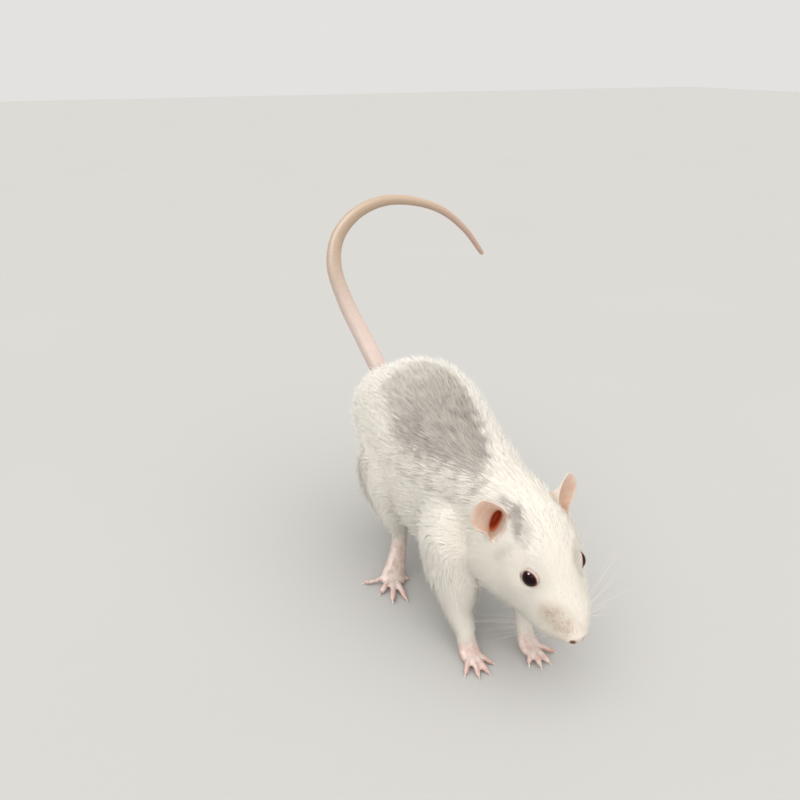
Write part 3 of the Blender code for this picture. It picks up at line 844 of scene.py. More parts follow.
    def filled(self, rows: np.ndarray) -> np.ndarray:
        """Puts more rows between, so that none is far from the next.

        Args:
            rows: The rows of one run.

        Returns:
            The filled run.
        """
        made = [rows[:1]]
        for first, second in zip(rows, rows[1:]):
            count = math.ceil(np.linalg.norm(second[:3] - first[:3]) / self.spacing)
            shares = np.linspace(0, 1, count + 1)[1:, None]
            made.append(first * (1 - shares) + second * shares)
        return np.concatenate(made)

    def at(self, places: np.ndarray) -> Tuple[np.ndarray, np.ndarray]:
        """The coat at some places.

        Args:
            places: One row for each place.

        Returns:
            The ways the hair runs, and rows of length, lift, depth and bareness.
        """
        ways, forms = [], []
        for block in np.array_split(places, len(places) // 20000 + 1):
            gaps = np.linalg.norm(block[:, None, :] - self.rows[None, :, :3], axis=2)
            pull = (self.rows[None, :, 3] / np.maximum(gaps, 1e-4)) ** self.sharpness
            pull /= pull.sum(axis=1, keepdims=True)
            ways.append(pull @ self.ways)
            forms.append(pull @ self.rows[:, 4:8])
        return np.concatenate(ways), np.concatenate(forms)


@dataclass(frozen=True)
class Markings:
    """The grey patches, drawn on the body as soft-edged outlines, and the painted shade of the
    whisker pad's folds on the muzzle.
    """

    back: Tuple[Tuple[float, float], ...] = (
        (-0.0137, 0.0353), (-0.0169, 0.0211), (-0.0179, 0.0100), (-0.0162, 0.0008),
        (-0.0140, -0.0068), (-0.0100, -0.0172), (-0.0049, -0.0268), (-0.0032, -0.0281),
        (0.0012, -0.0232), (0.0062, -0.0165), (0.0088, -0.0060), (0.0110, 0.0060),
        (0.0128, 0.0190), (0.0120, 0.0310), (0.0060, 0.0375), (-0.0010, 0.0395),
        (-0.0085, 0.0385),
    )
    back_floor: float = 0.055
    crescent: Tuple[Row, ...] = (
        (-0.0097, 0.0106, -0.0535, 0.0014),
        (-0.0088, 0.0119, -0.0505, 0.0021),
        (-0.0082, 0.0128, -0.0475, 0.0029),
        (-0.0084, 0.0129, -0.0446, 0.0030),
        (-0.0091, 0.0125, -0.0421, 0.0030),
        (-0.0100, 0.0117, -0.0399, 0.0027),
        (-0.0108, 0.0109, -0.0382, 0.0021),
    )
    # A soft grey below the ear lobe, which joins the coat's grey at half strength.
    below_ear_grey: Tuple[Row, ...] = (
        (-0.0136, 0.0075, -0.0374, 0.0006),
        (-0.0153, 0.0051, -0.0371, 0.0011),
        (-0.0171, 0.0020, -0.0368, 0.0008),
    )
    # Balls along the head's axes where the painted shade of the whisker pad's folds lies.
    muzzle: Tuple[Row, ...] = (
        (-0.0082, 0.0040, -0.0125, 0.0015),
        (-0.0066, 0.0047, -0.0100, 0.0024),
        (-0.0050, 0.0043, -0.0073, 0.0024),
        (-0.0036, 0.0032, -0.0046, 0.0016),
        (-0.0022, 0.0032, -0.0030, 0.0012),
        (0.0004, 0.0036, -0.0024, 0.0010),
    )
    softness: float = 0.0025
    fray: float = 0.8
    back_fade: Tuple[float, float] = (-0.020, 0.010)
    crescent_edge: Tuple[float, float] = (-0.0011, 0.0011)
    below_ear_grey_edge: Tuple[float, float] = (-0.0022, 0.0012)
    muzzle_shade_edge: Tuple[float, float] = (-0.0048, 0.0014)

    def outline_depth(self, places: np.ndarray) -> np.ndarray:
        """How far inside the back's outline each place lies, seen from above.

        Args:
            places: One row for each place.

        Returns:
            The depth in metres, below 0 outside.
        """
        corners = np.array([placed(x, y, 0)[:2] for x, y in self.back])
        ahead = np.roll(corners, -1, axis=0)
        flat = places[:, None, :2]
        side = ahead - corners
        share = ((flat - corners) * side).sum(2) / (side * side).sum(1)
        nearest = corners + np.clip(share, 0, 1)[:, :, None] * side
        gap = np.linalg.norm(flat - nearest, axis=2).min(1)
        below = corners[None, :, 1] <= flat[:, :, 1]
        below_next = ahead[None, :, 1] <= flat[:, :, 1]
        cross = side[:, 0] * (flat[:, :, 1] - corners[:, 1]) - side[:, 1] * (
            flat[:, :, 0] - corners[:, 0]
        )
        crossings = np.where(below & ~below_next & (cross > 0), 1, 0)
        crossings -= np.where(~below & below_next & (cross < 0), 1, 0)
        return np.where(crossings.sum(1) != 0, gap, -gap)

    def near(self, rows: Sequence[Row], places: np.ndarray, sides: Sequence[int]) -> np.ndarray:
        """How far inside a run of balls each place lies.

        Args:
            rows: Left, up, forward and radius of each ball, along the head's axes.
            places: One row for each place.
            sides: Which sides of the head they are on, -1 or 1.

        Returns:
            The depth in metres, below 0 outside.
        """
        depth = np.full(len(places), -1.0)
        for side in sides:
            for first, second in zip(rows, rows[1:]):
                for share in np.linspace(0, 1, 5):
                    ball = np.array(first) * (1 - share) + np.array(second) * share
                    left, up, forward, radius = ball
                    middle = np.array(HEAD.point(left * side, up, forward))
                    depth = np.maximum(depth, radius - np.linalg.norm(places - middle, axis=1))
        return depth

    def grey(self, places: np.ndarray, rough: np.ndarray) -> np.ndarray:
        """How grey the coat is.

        Args:
            places: One row for each place.
            rough: A number for each place that frays the edge, from -1 to 1.

        Returns:
            A share from 0 to 1 for each place.
        """
        fray = rough * self.softness * self.fray
        back = ease(self.outline_depth(places) + fray, -self.softness, self.softness)
        back *= places[:, 2] > self.back_floor
        back *= 0.62 + 0.38 * ease(-places[:, 1], *self.back_fade)
        crescent = ease(self.near(self.crescent, places, (1,)) + fray * 0.5, *self.crescent_edge)
        below_ear_grey = ease(self.near(self.below_ear_grey, places, (1,)), *self.below_ear_grey_edge)
        return np.maximum(back, np.maximum(crescent, below_ear_grey * 0.5))

    def dusk(self, places: np.ndarray) -> np.ndarray:
        """How much painted shade of the whisker pad's folds lies at each place on the muzzle."""
        return ease(self.near(self.muzzle, places, (1,)), *self.muzzle_shade_edge)


def wander(places: np.ndarray, size: float, seed: int) -> np.ndarray:
    """Smooth noise from a few crossing waves.

    Args:
        places: One row for each place.
        size: The length of its waves in metres.
        seed: Which noise it is.

    Returns:
        A number from about -1 to 1 for each place.
    """
    rng = np.random.default_rng(seed)
    total = np.zeros(len(places))
    for _ in range(8):
        way = unit(rng.normal(size=3)) * rng.uniform(0.7, 1.6) * 2 * math.pi / size
        total += np.sin(places @ way + rng.uniform(0, 2 * math.pi))
    return total / 3.2


@dataclass
class Hide:
    """One skin for the trunk, the head, the legs and the paws."""

    coat: CoatMap
    marks: Markings
    ears: Sequence["Ear"]
    reach: float = 0.00025
    voxel: float = 0.00038
    keep_fine: float = 0.0009
    share_left: float = 0.22
    bare_rows: Tuple[Row, ...] = ((0.0, 0.0002, 0.0006, 0.0026),)

    def joined(self) -> bpy.types.Mesh:
        """Joins the solids of flesh, each grown a little so that they meet.

        Returns:
            One mesh of them all.
        """
        form = bmesh.new()
        for name in TRUNK_NODES + LIMB_NODES:
            solid = bmesh.new()
            solid.from_mesh(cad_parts[name].data)
            bmesh.ops.remove_doubles(solid, verts=solid.verts, dist=1e-7)
            solid.normal_update()
            for vert in solid.verts:
                vert.co += vert.normal * self.reach
            grown = meshed(solid, "grown")
            form.from_mesh(grown)
            bpy.data.meshes.remove(grown)
        return meshed(form, "joined")

    def applied(self, mesh: bpy.types.Mesh, kind: str, **settings: object) -> bpy.types.Mesh:
        """Runs one modifier on a mesh.

        Args:
            mesh: The mesh, which is removed.
            kind: The modifier's type.
            settings: What is set on it.

        Returns:
            The new mesh.
        """
        item = linked("work", mesh)
        if "vertex_group" in settings:
            group = item.vertex_groups.new(name=settings["vertex_group"])
            values = settings.pop("weights")
            for level in range(1, 11):
                chosen = np.flatnonzero(np.round(values * 10) == level)
                group.add(chosen.tolist(), level / 10, "REPLACE")
        change = item.modifiers.new("change", kind)
        for key, value in settings.items():
            setattr(change, key, value)
        graph = bpy.context.evaluated_depsgraph_get()
        made = bpy.data.meshes.new_from_object(item.evaluated_get(graph))
        bpy.data.objects.remove(item)
        bpy.data.meshes.remove(mesh)
        return made

    def build(self) -> bpy.types.Object:
        """Makes the skin.

        Returns:
            The skin's object, which is shown for the solids of flesh.
        """
        mesh = self.applied(self.joined(), "REMESH", mode="VOXEL", voxel_size=self.voxel)
        places = vertex_places(mesh)
        edges = read(mesh.edges, "vertices", 2, int)
        depth = self.coat.at(places)[1][:, 2]
        strength = 0.6 * ease(depth, 0.0001, 0.0012)
        places = relaxed(places, edges, strength, 110)
        places = relaxed(places, edges, np.full(len(places), 0.4), 3)
        mesh.vertices.foreach_set("co", places.ravel())
        mesh.update()
        sunk = places - vertex_normals(mesh) * (depth + self.reach)[:, None]
        for ear in self.ears:
            sunk = ear.opened(sunk)
        sunk[:, 2] = np.maximum(sunk[:, 2], 0.00002)
        mesh.vertices.foreach_set("co", sunk.ravel())
        mesh.update()
        coarse = ease(depth, 0.0002, self.keep_fine)
        mesh = self.applied(
            mesh, "DECIMATE", ratio=self.share_left, vertex_group="coarse", weights=coarse,
            use_collapse_triangulate=True,
        )
        mesh.shade_smooth()
        self.paint(mesh)
        return add_piece(
            "skin", mesh, HideFinish().material(), TRUNK_NODES + LIMB_NODES
        )

    def paint(self, mesh: bpy.types.Mesh) -> None:
        """Stores where the skin is bare, flushed or grey, and the painted shade in the nostrils.

        Args:
            mesh: The skin's mesh.
        """
        places = vertex_places(mesh)
        bare = ease(self.coat.at(places)[1][:, 3], 0.1, 0.9)
        nose = self.marks.near(self.bare_rows * 2, places, (1,))
        bare = np.maximum(bare, ease(nose, -0.0012, 0.0006))
        carry(mesh, "bare", bare)
        carry(mesh, "grey", self.marks.grey(places, wander(places, 0.006, 3)))
        low = ease(-places[:, 2], -0.0045, -0.0008)
        carry(mesh, "flush", bare * low * 0.35 * ease(wander(places, 0.004, 5), -0.8, 0.9))
        # Painted shade in each nostril opening, darkest at its middle.
        pit = np.zeros(len(places))
        for side in SIDES.values():
            middle = np.array(HEAD.point(0.0026 * side, 0.0005, -0.0006))
            gap = np.linalg.norm(places - middle, axis=1)
            pit = np.maximum(pit, ease(-gap, -0.0016, -0.0008))
        carry(mesh, "pit", pit)


@dataclass
class Paired:
    """A piece that the head has on either side."""

    side: int

    def name(self) -> str:
        """The side's word."""
        return "right" if self.side < 0 else "left"

    def spot(self, place: Tuple[float, float, float]) -> Vector:
        """A place on this side, given along the head's axes for the left."""
        return HEAD.point(place[0] * self.side, *place[1:])

    def way(self, way: Tuple[float, float, float]) -> Vector:
        """A direction on this side, given along the head's axes for the left."""
        return HEAD.direction(way[0] * self.side, *way[1:])


@dataclass
class Eye(Paired):
    """One eyeball and the bare rim of its lids."""

    skin: BVHTree
    radius: float = 0.0036
    aim: Tuple[float, float, float] = (0.78, 0.50, 0.34)
    opening: Tuple[float, float] = (0.0034, 0.0028)
    rim: float = 0.00026
    wall: float = 0.0003

    def centre(self) -> Vector:
        """The middle of the eyeball."""
        return self.spot(EYE_PLACE)

    def axes(self) -> Tuple[Vector, Vector, Vector]:
        """Works out the eye's own axes.

        Returns:
            Its outward way, then the long and the short way of its opening.
        """
        out = self.way(self.aim)
        ahead = HEAD.direction(0, 0, 1)
        long_way = (ahead - ahead.dot(out) * out).normalized()
        short_way = out.cross(long_way).normalized()
        if short_way.dot(HEAD.direction(0, 1, 0)) < 0:
            short_way.negate()
        return out, long_way, short_way

    def drawn_in(self, roots: np.ndarray) -> np.ndarray:
        """Hair roots round the eye, drawn in so that they also stand on the rim of the lids.

        Args:
            roots: One row for each root.

        Returns:
            The roots' new places.
        """
        out, long_way, short_way = (np.array(way) for way in self.axes())
        offset = roots - np.array(self.centre())
        u, v, w = offset @ long_way, offset @ short_way, offset @ out
        flat = np.hypot(u / self.opening[0], v / self.opening[1])
        near = (flat < 1.7) & (w > -0.002)
        scale = np.where(near, (0.94 + (flat - 1.03) * (0.76 / 0.67)) / flat, 1.0)
        ball = np.sqrt(np.maximum(self.radius**2 - (u * u + v * v) * scale**2, 0.0))
        height = np.where(near & (scale < 1), np.maximum(w, ball + self.rim * 0.8), w)
        flat_part = scale[:, None] * (u[:, None] * long_way + v[:, None] * short_way)
        return np.array(self.centre()) + flat_part + height[:, None] * out

    def ball(self) -> bpy.types.Object:
        """Makes the eyeball.

        Returns:
            The eyeball's object.
        """
        out, long_way, short_way = self.axes()
        form = bmesh.new()
        bmesh.ops.create_uvsphere(form, u_segments=56, v_segments=40, radius=1.0)
        layer = form.verts.layers.float.new("rim")
        for vert in form.verts:
            x, y, z = vert.co
            vert[layer] = math.hypot(x, y) if z > 0 else 1.0
            vert.co = self.centre() + self.radius * (x * long_way + y * short_way + z * out)
        name = "eye_" + self.name()
        return add_piece(name + "_ball", finished(form), EyeFinish().material(), [name])

    def lid(self) -> bpy.types.Object:
        """Makes the rim of the lids, from the eyeball out into the skin.

        Returns:
            The rim's object.
        """
        out, long_way, short_way = self.axes()
        centre = self.centre()

        def point(share: float, turn: float) -> Vector:
            """A point of the rim, by its share outwards and its turn.

            Args:
                share: The share of the way from the first row to the last.
                turn: The share of a turn round the middle.

            Returns:
                The point.
            """
            angle = 2 * math.pi * turn
            wide, tall = self.opening
            x = wide * math.cos(angle)
            y = tall * math.sin(angle) * abs(math.sin(angle)) ** 0.15
            scale = 0.82 + (0.42 + 0.10 * max(0.0, math.cos(angle)) ** 10) * share
            flat = centre + (x * long_way + y * short_way) * scale
            ball = math.sqrt(max(self.radius**2 - (x * x + y * y) * scale**2, 0.0))
            lip = ball + self.rim * max(math.sin(math.pi * min(0.1 + share * 0.9, 1.0)), 0.75)
            hit = self.skin.ray_cast(flat + out * 0.012, -out, 0.03)[0]
            skin = (hit - flat).dot(out) - 0.0002 if hit else 0.0
            return flat + out * max(lip - 0.0001, skin - 0.0012 * (1 - share))

        def corner(share: float, turn: float) -> float:
            """How near the front corner a point of the rim is."""
            return max(0.0, math.cos(2 * math.pi * turn)) ** 16 * (1 - share * 0.7)

        form = sheet(10, 72, point, {"edge": lambda share, turn: share, "corner": corner})
        mesh = thickened(form, self.wall)
        return add_piece("lid_" + self.name(), mesh, LidFinish().material())


@dataclass
class Ear(Paired):
    """One large round low-set ear, a thin cupped sheet with a deep opening."""

    place: Tuple[float, float, float] = (0.0138, 0.0074, -0.0459)
    root: Tuple[float, float, float] = (0.0016, 0.0035, 0.0052)
    rim: Tuple[Tuple[float, float], ...] = (
        (-180, 0.0044), (-150, 0.0047), (-125, 0.0052), (-98, 0.0070), (-78, 0.0059),
        (-57, 0.0051), (-45, 0.0060), (-35, 0.0075), (-22, 0.0090), (-8, 0.0100),
        (10, 0.0108), (27, 0.0113), (42, 0.0110), (50, 0.0100), (60, 0.0086),
        (75, 0.0072), (92, 0.0060), (120, 0.0048), (150, 0.0043), (180, 0.0046),
    )
    depth: float = 0.0045
    flare: float = 1.8
    curl: float = 0.0006
    canal: float = 0.0032
    thickness: float = 0.00032
    reach_way: Tuple[float, float, float] = (0.81, 0.01, -0.58)
    width_way: Tuple[float, float, float] = (-0.38, 0.76, -0.53)
    bottom: float = -0.9

    def axes(self) -> Tuple[Vector, Vector, Vector]:
        """Works out the ear's own axes.

        Returns:
            The ways that the ear reaches, its width runs and its cup faces.
        """
        reach, width = self.way(self.reach_way), self.way(self.width_way)
        width = (width - width.dot(reach) * reach).normalized()
        return reach, width, self.side * reach.cross(width)

    def centre(self) -> Vector:
        """The middle of the ear's opening."""
        return self.spot(self.place)

    def cup(self, places: np.ndarray) -> Tuple[np.ndarray, np.ndarray]:
        """Where places lie against the ear's sheet.

        Args:
            places: One row for each place.

        Returns:
            The share of the way from the opening's edge to the rim, and the height above
            the sheet.
        """
        reach, width, face = (np.array(way) for way in self.axes())
        offset = places - np.array(self.centre())
        across, along, height = offset @ reach, offset @ width, offset @ face
        angle = np.arctan2(along, across)
        radius = np.hypot(across, along)
        tall = np.where(angle > 0, self.root[1], self.root[2])
        root = 1 / np.hypot(np.cos(angle) / self.root[0], np.sin(angle) / tall)
        rim = np.interp(np.degrees(angle), *np.array(self.rim).T)
        share = (radius - root) / (rim - root)
        inner = np.clip(share, 0, 1)
        level = self.curl * inner**4 - self.depth * (1 - inner) ** self.flare
        return share, height - level + self.canal * ease(-share, 0.0, 0.3)

    def under(self, share: np.ndarray) -> np.ndarray:
        """How deep the skin lies under the ear's sheet, by the share of the way to the rim."""
        return 0.0009 + 0.0022 * ease(-share, -0.45, -0.05)

    def opened(self, places: np.ndarray) -> np.ndarray:
        """Sinks what lies in the ear's cup under its sheet.

        Args:
            places: One row for each place.

        Returns:
            The new places.
        """
        share, height = self.cup(places)
        sink = np.maximum(height + self.under(share), 0) * ease(-share, -1.03, -0.93)
        sink *= np.abs(height) < 0.012
        return places - sink[:, None] * np.array(self.axes()[2])

    def sheet_point(self, share: float, turn: float) -> Vector:
        """A point of the ear's sheet.

        Args:
            share: 0 at the edge of the opening, 1 at the rim, below 0 down the canal.
            turn: The share of the way round, from 0 to 1.

        Returns:
            The point in the model's frame.
        """
        reach, width, face = self.axes()
        degrees = -180.0 + 360.0 * turn
        cosine, sine = math.cos(math.radians(degrees)), math.sin(math.radians(degrees))
        tall = self.root[1] if sine > 0 else self.root[2]
        root = self.root[0] * cosine * reach + tall * sine * width
        if share < 0:
            narrow = 1 + 0.45 * share
            return self.centre() + root * narrow + face * (share * self.canal - self.depth)
        edge = self.edge.at(degrees)[0] * (cosine * reach + sine * width)
        height = self.curl * share**4 - self.depth * (1 - share) ** self.flare
        fold = 0.0007 * math.exp(-(((share - 0.42) / 0.13) ** 2)) * (1 - 0.75 * cosine)
        wave = 0.0002 * math.sin(3 * math.radians(degrees) + 1.0) * share**3
        return self.centre() + root.lerp(edge, share) + face * (height + fold * 0.6 + wave)

    def build(self) -> bpy.types.Object:
        """Makes the ear.

        Returns:
            The ear's object.
        """
        self.edge = Path([(radius,) for _, radius in self.rim], [angle for angle, _ in self.rim])

        def spread(u: float) -> float:
            """The share between the canal's bottom and the rim."""
            return self.bottom + (1 - self.bottom) * u

        values = {
            "share": lambda u, v: spread(u),
            "fore": lambda u, v: max(0.0, math.cos(2 * math.pi * v)) ** 2,
        }
        form = sheet(40, 96, lambda u, v: self.sheet_point(spread(u), v), values)
        centre, face = self.centre(), self.axes()[2]
        border = [e for e in form.edges if e.is_boundary]
        low = [e for e in border if (e.verts[0].co - centre).dot(face) < -self.depth]
        bmesh.ops.contextual_create(form, geom=low)
        mesh = thickened(form, self.thickness)
        facing = vertex_normals(mesh) @ np.array(face)
        carry(mesh, "behind", ease(-facing, 0.0, 0.5))
        name = "ear_" + self.name()
        return add_piece(name + "_pinna", mesh, EarFinish().material(), [name])


@dataclass
class Tail:
    """The bare tail with its rings of scales."""

    route: Tuple[Row, ...] = (
        (-0.0005, 0.0715, 0.0712, 0.0043),
        (-0.0044, 0.0830, 0.0850, 0.0041), (-0.0092, 0.0930, 0.1010, 0.0038),
        (-0.0116, 0.0998, 0.1170, 0.0035), (-0.0078, 0.1030, 0.1290, 0.0032),
        (0.0015, 0.1028, 0.1388, 0.0029), (0.0140, 0.1001, 0.1440, 0.0025),
        (0.0280, 0.0960, 0.1436, 0.0021), (0.0415, 0.0930, 0.1388, 0.0018),
        (0.0530, 0.0910, 0.1295, 0.0015), (0.0636, 0.0900, 0.1160, 0.0011),
    )
    start: float = -0.0030
    rings: int = 176
    steps_a_ring: int = 4
    around: int = 26
    relief: float = 0.035

    def build(self) -> bpy.types.Object:
        """Makes the tail.

        Returns:
            The tail's object.
        """
        rows = [(*placed(*row[:3]), row[3]) for row in self.route]
        self.path = Path(rows)
        steps = self.rings * self.steps_a_ring
        length = self.path.end() - self.start
        shares = [k / steps for k in range(steps + 1)]
        frames = [self.section(self.start + length * share, share) for share in shares]

        def point(share: float, turn: float) -> Vector:
            """A point of the tail, by its share along and its turn.

            Args:
                share: The share of the way from the first row to the last.
                turn: The share of a turn round the middle.

            Returns:
                The point.
            """
            centre, side, front, radius = frames[round(share * steps)]
            angle = 2 * math.pi * turn
            return centre + radius * (math.cos(angle) * side + math.sin(angle) * front)

        def seam(share: float, turn: float) -> float:
            """1 between two rings and 0 elsewhere."""
            return float(round(share * steps) % self.steps_a_ring == 0)

        values = {"along": lambda share, turn: share, "seam": seam}
        form = sheet(steps, self.around, point, values)
        bmesh.ops.holes_fill(form, edges=[e for e in form.edges if e.is_boundary], sides=0)
        return add_piece("tail", finished(form), TailFinish().material(), TAIL_NODES)

    def section(self, place: float, share: float) -> Tuple[Vector, Vector, Vector, float]:
        """One section of the tail.

        Args:
            place: Where along the tail's path.
            share: The same as a share of the tail's whole length.

        Returns:
            Its centre, two ways across and its radius.
        """
        x, y, z, radius = self.path.at(place)
        centre = Vector((x, y, z))
        along = (Vector(self.path.at(place + 0.0003)[:3]) - centre).normalized()
        side = (Vector((0, 1, 0)) - along.y * along).normalized()
        phase = share * self.rings % 1.0
        radius *= 1 + self.relief * (phase - 0.5) * (1 - 0.3 * share)
        left = self.path.end() - place
        if left < radius:
            radius *= math.sqrt(max(1 - (1 - left / radius) ** 2, 0.004))
        return centre, side, along.cross(side), radius


@dataclass
class Claws:
    """The claws of all four paws, in one piece."""

    paws: Tuple[tuple, ...] = PAWS

    def build(self) -> bpy.types.Object:
        """Makes the claws.

        Returns:
            The claws' object.
        """
        form = bmesh.new()
        layer = form.verts.layers.float.new("along")
        for (x, y), tips, radius, length in self.paws:
            for tip in tips:
                way = (Vector((*tip, 0)) - Vector((x, y, 0))).normalized()
                made = bmesh.ops.create_cone(
                    form, cap_ends=True, segments=8, radius1=radius * 0.42, radius2=radius * 0.05,
                    depth=length,
                )
                long_edges = {
                    e for v in made["verts"] for e in v.link_edges
                    if abs(e.verts[0].co.z - e.verts[1].co.z) > length / 2
                }
                bmesh.ops.subdivide_edges(form, edges=list(long_edges), cuts=3)
                root = placed(*tip, radius)
                turn = Vector((0, 0, 1)).rotation_difference(way).to_matrix()
                done = [v for v in form.verts if v[layer] == 0.0]
                for vert in done:
                    share = vert.co.z / length + 0.5
                    local = Vector((vert.co.x, vert.co.y, vert.co.z + length * 0.42))
                    vert.co = root + turn @ local - Vector((0, 0, 1)) * radius * 0.75 * share**2
                    vert[layer] = max(share, 0.001)
        for vert in form.verts:
            vert.co.z = max(vert.co.z, 0.00005)
        finish = PlainFinish("claw", (0.80, 0.60, 0.52), (0.90, 0.84, 0.74), 0.3)
        return add_piece("claws", finished(form), finish.material())


@dataclass
class Whiskers:
    """Fine tapered whiskers on the muzzle, over the eyes and on the cheeks."""

    skin: BVHTree
    rows: int = 4
    columns: int = 5
    brow: Tuple[Row, ...] = (
        (0.0066, 0.0125, -0.0235, 0.016),
        (0.0070, 0.0125, -0.0255, 0.019),
    )
    thickness: float = 0.00007
    steps: int = 9

    def roots(self, rng: np.random.Generator) -> List[Tuple[Vector, Vector, float]]:
        """Where the whiskers grow.

        Args:
            rng: The seeded draw.

        Returns:
            The root, the way and the length of each.
        """
        found = []
        for side in SIDES.values():
            for row in range(self.rows):
                for column in range(self.columns):
                    behind = 0.0035 + 0.0019 * column + rng.uniform(-0.0003, 0.0003)
                    up = 0.0012 - 0.0017 * row + rng.uniform(-0.0003, 0.0003)
                    guess = HEAD.point(0.012 * side, up, -behind)
                    root = self.skin.find_nearest(guess)[0]
                    back = -0.55 + 0.16 * (self.columns - 1 - column) + rng.uniform(-0.12, 0.12)
                    lift = 0.45 - 0.26 * row + rng.uniform(-0.1, 0.1)
                    way = HEAD.direction(side, lift, back)
                    length = (0.009 + 0.0050 * column) * rng.uniform(0.85, 1.15)
                    found.append((root, way, length))
            for left, up, ahead, length in self.brow:
                root = self.skin.find_nearest(HEAD.point(left * side, up, ahead))[0]
                found.append((root, HEAD.direction(0.25 * side, 0.75, -0.45), length))
        return found

    def build(self) -> bpy.types.Object:
        """Makes the whiskers as closed three-sided threads.

        Returns:
            The whiskers' object.
        """
        rng = np.random.default_rng(SEED + 5)
        points, faces, along = [], [], []
        for root, way, length in self.roots(rng):
            bend = Vector((rng.uniform(-0.2, 0.2), 0.25, -0.45 + rng.uniform(-0.2, 0.2)))
            side = way.cross(Vector((0, 0, 1))).normalized()
            over = side.cross(way)
            base = len(points)
            for k in range(self.steps):
                share = k / (self.steps - 1)
                centre = root + way * length * (share - 0.02) + bend * length * 0.35 * share**2
                centre.z = max(centre.z, 0.0006)
                radius = self.thickness / 2 * (1 - 0.8 * share)
                for corner in range(3):
                    angle = 2 * math.pi * corner / 3
                    spoke = math.cos(angle) * side + math.sin(angle) * over
                    points.append(centre + radius * spoke)
                    along.append(share)
            for k in range(self.steps - 1):
                for corner in range(3):
                    a, b = base + 3 * k + corner, base + 3 * k + (corner + 1) % 3
                    faces.append((a, b, b + 3, a + 3))
            faces.append((base + 2, base + 1, base))
            last = base + 3 * (self.steps - 1)
            faces.append((last, last + 1, last + 2))
        mesh = bpy.data.meshes.new("whiskers")
        mesh.from_pydata(points, [], faces)
        mesh.update()
        form = bmesh.new()
        form.from_mesh(mesh)
        mesh = finished(form)
        carry(mesh, "along", np.array(along))
        finish = PlainFinish("whisker", (0.76, 0.71, 0.65), (0.84, 0.81, 0.77), 0.4)
        return add_piece("whiskers", mesh, finish.material())


class LockForm(Enum):
    """How a lock of hair is built: straight and short, or long with a bend."""

    SPIKE = 4
    BENT = 10


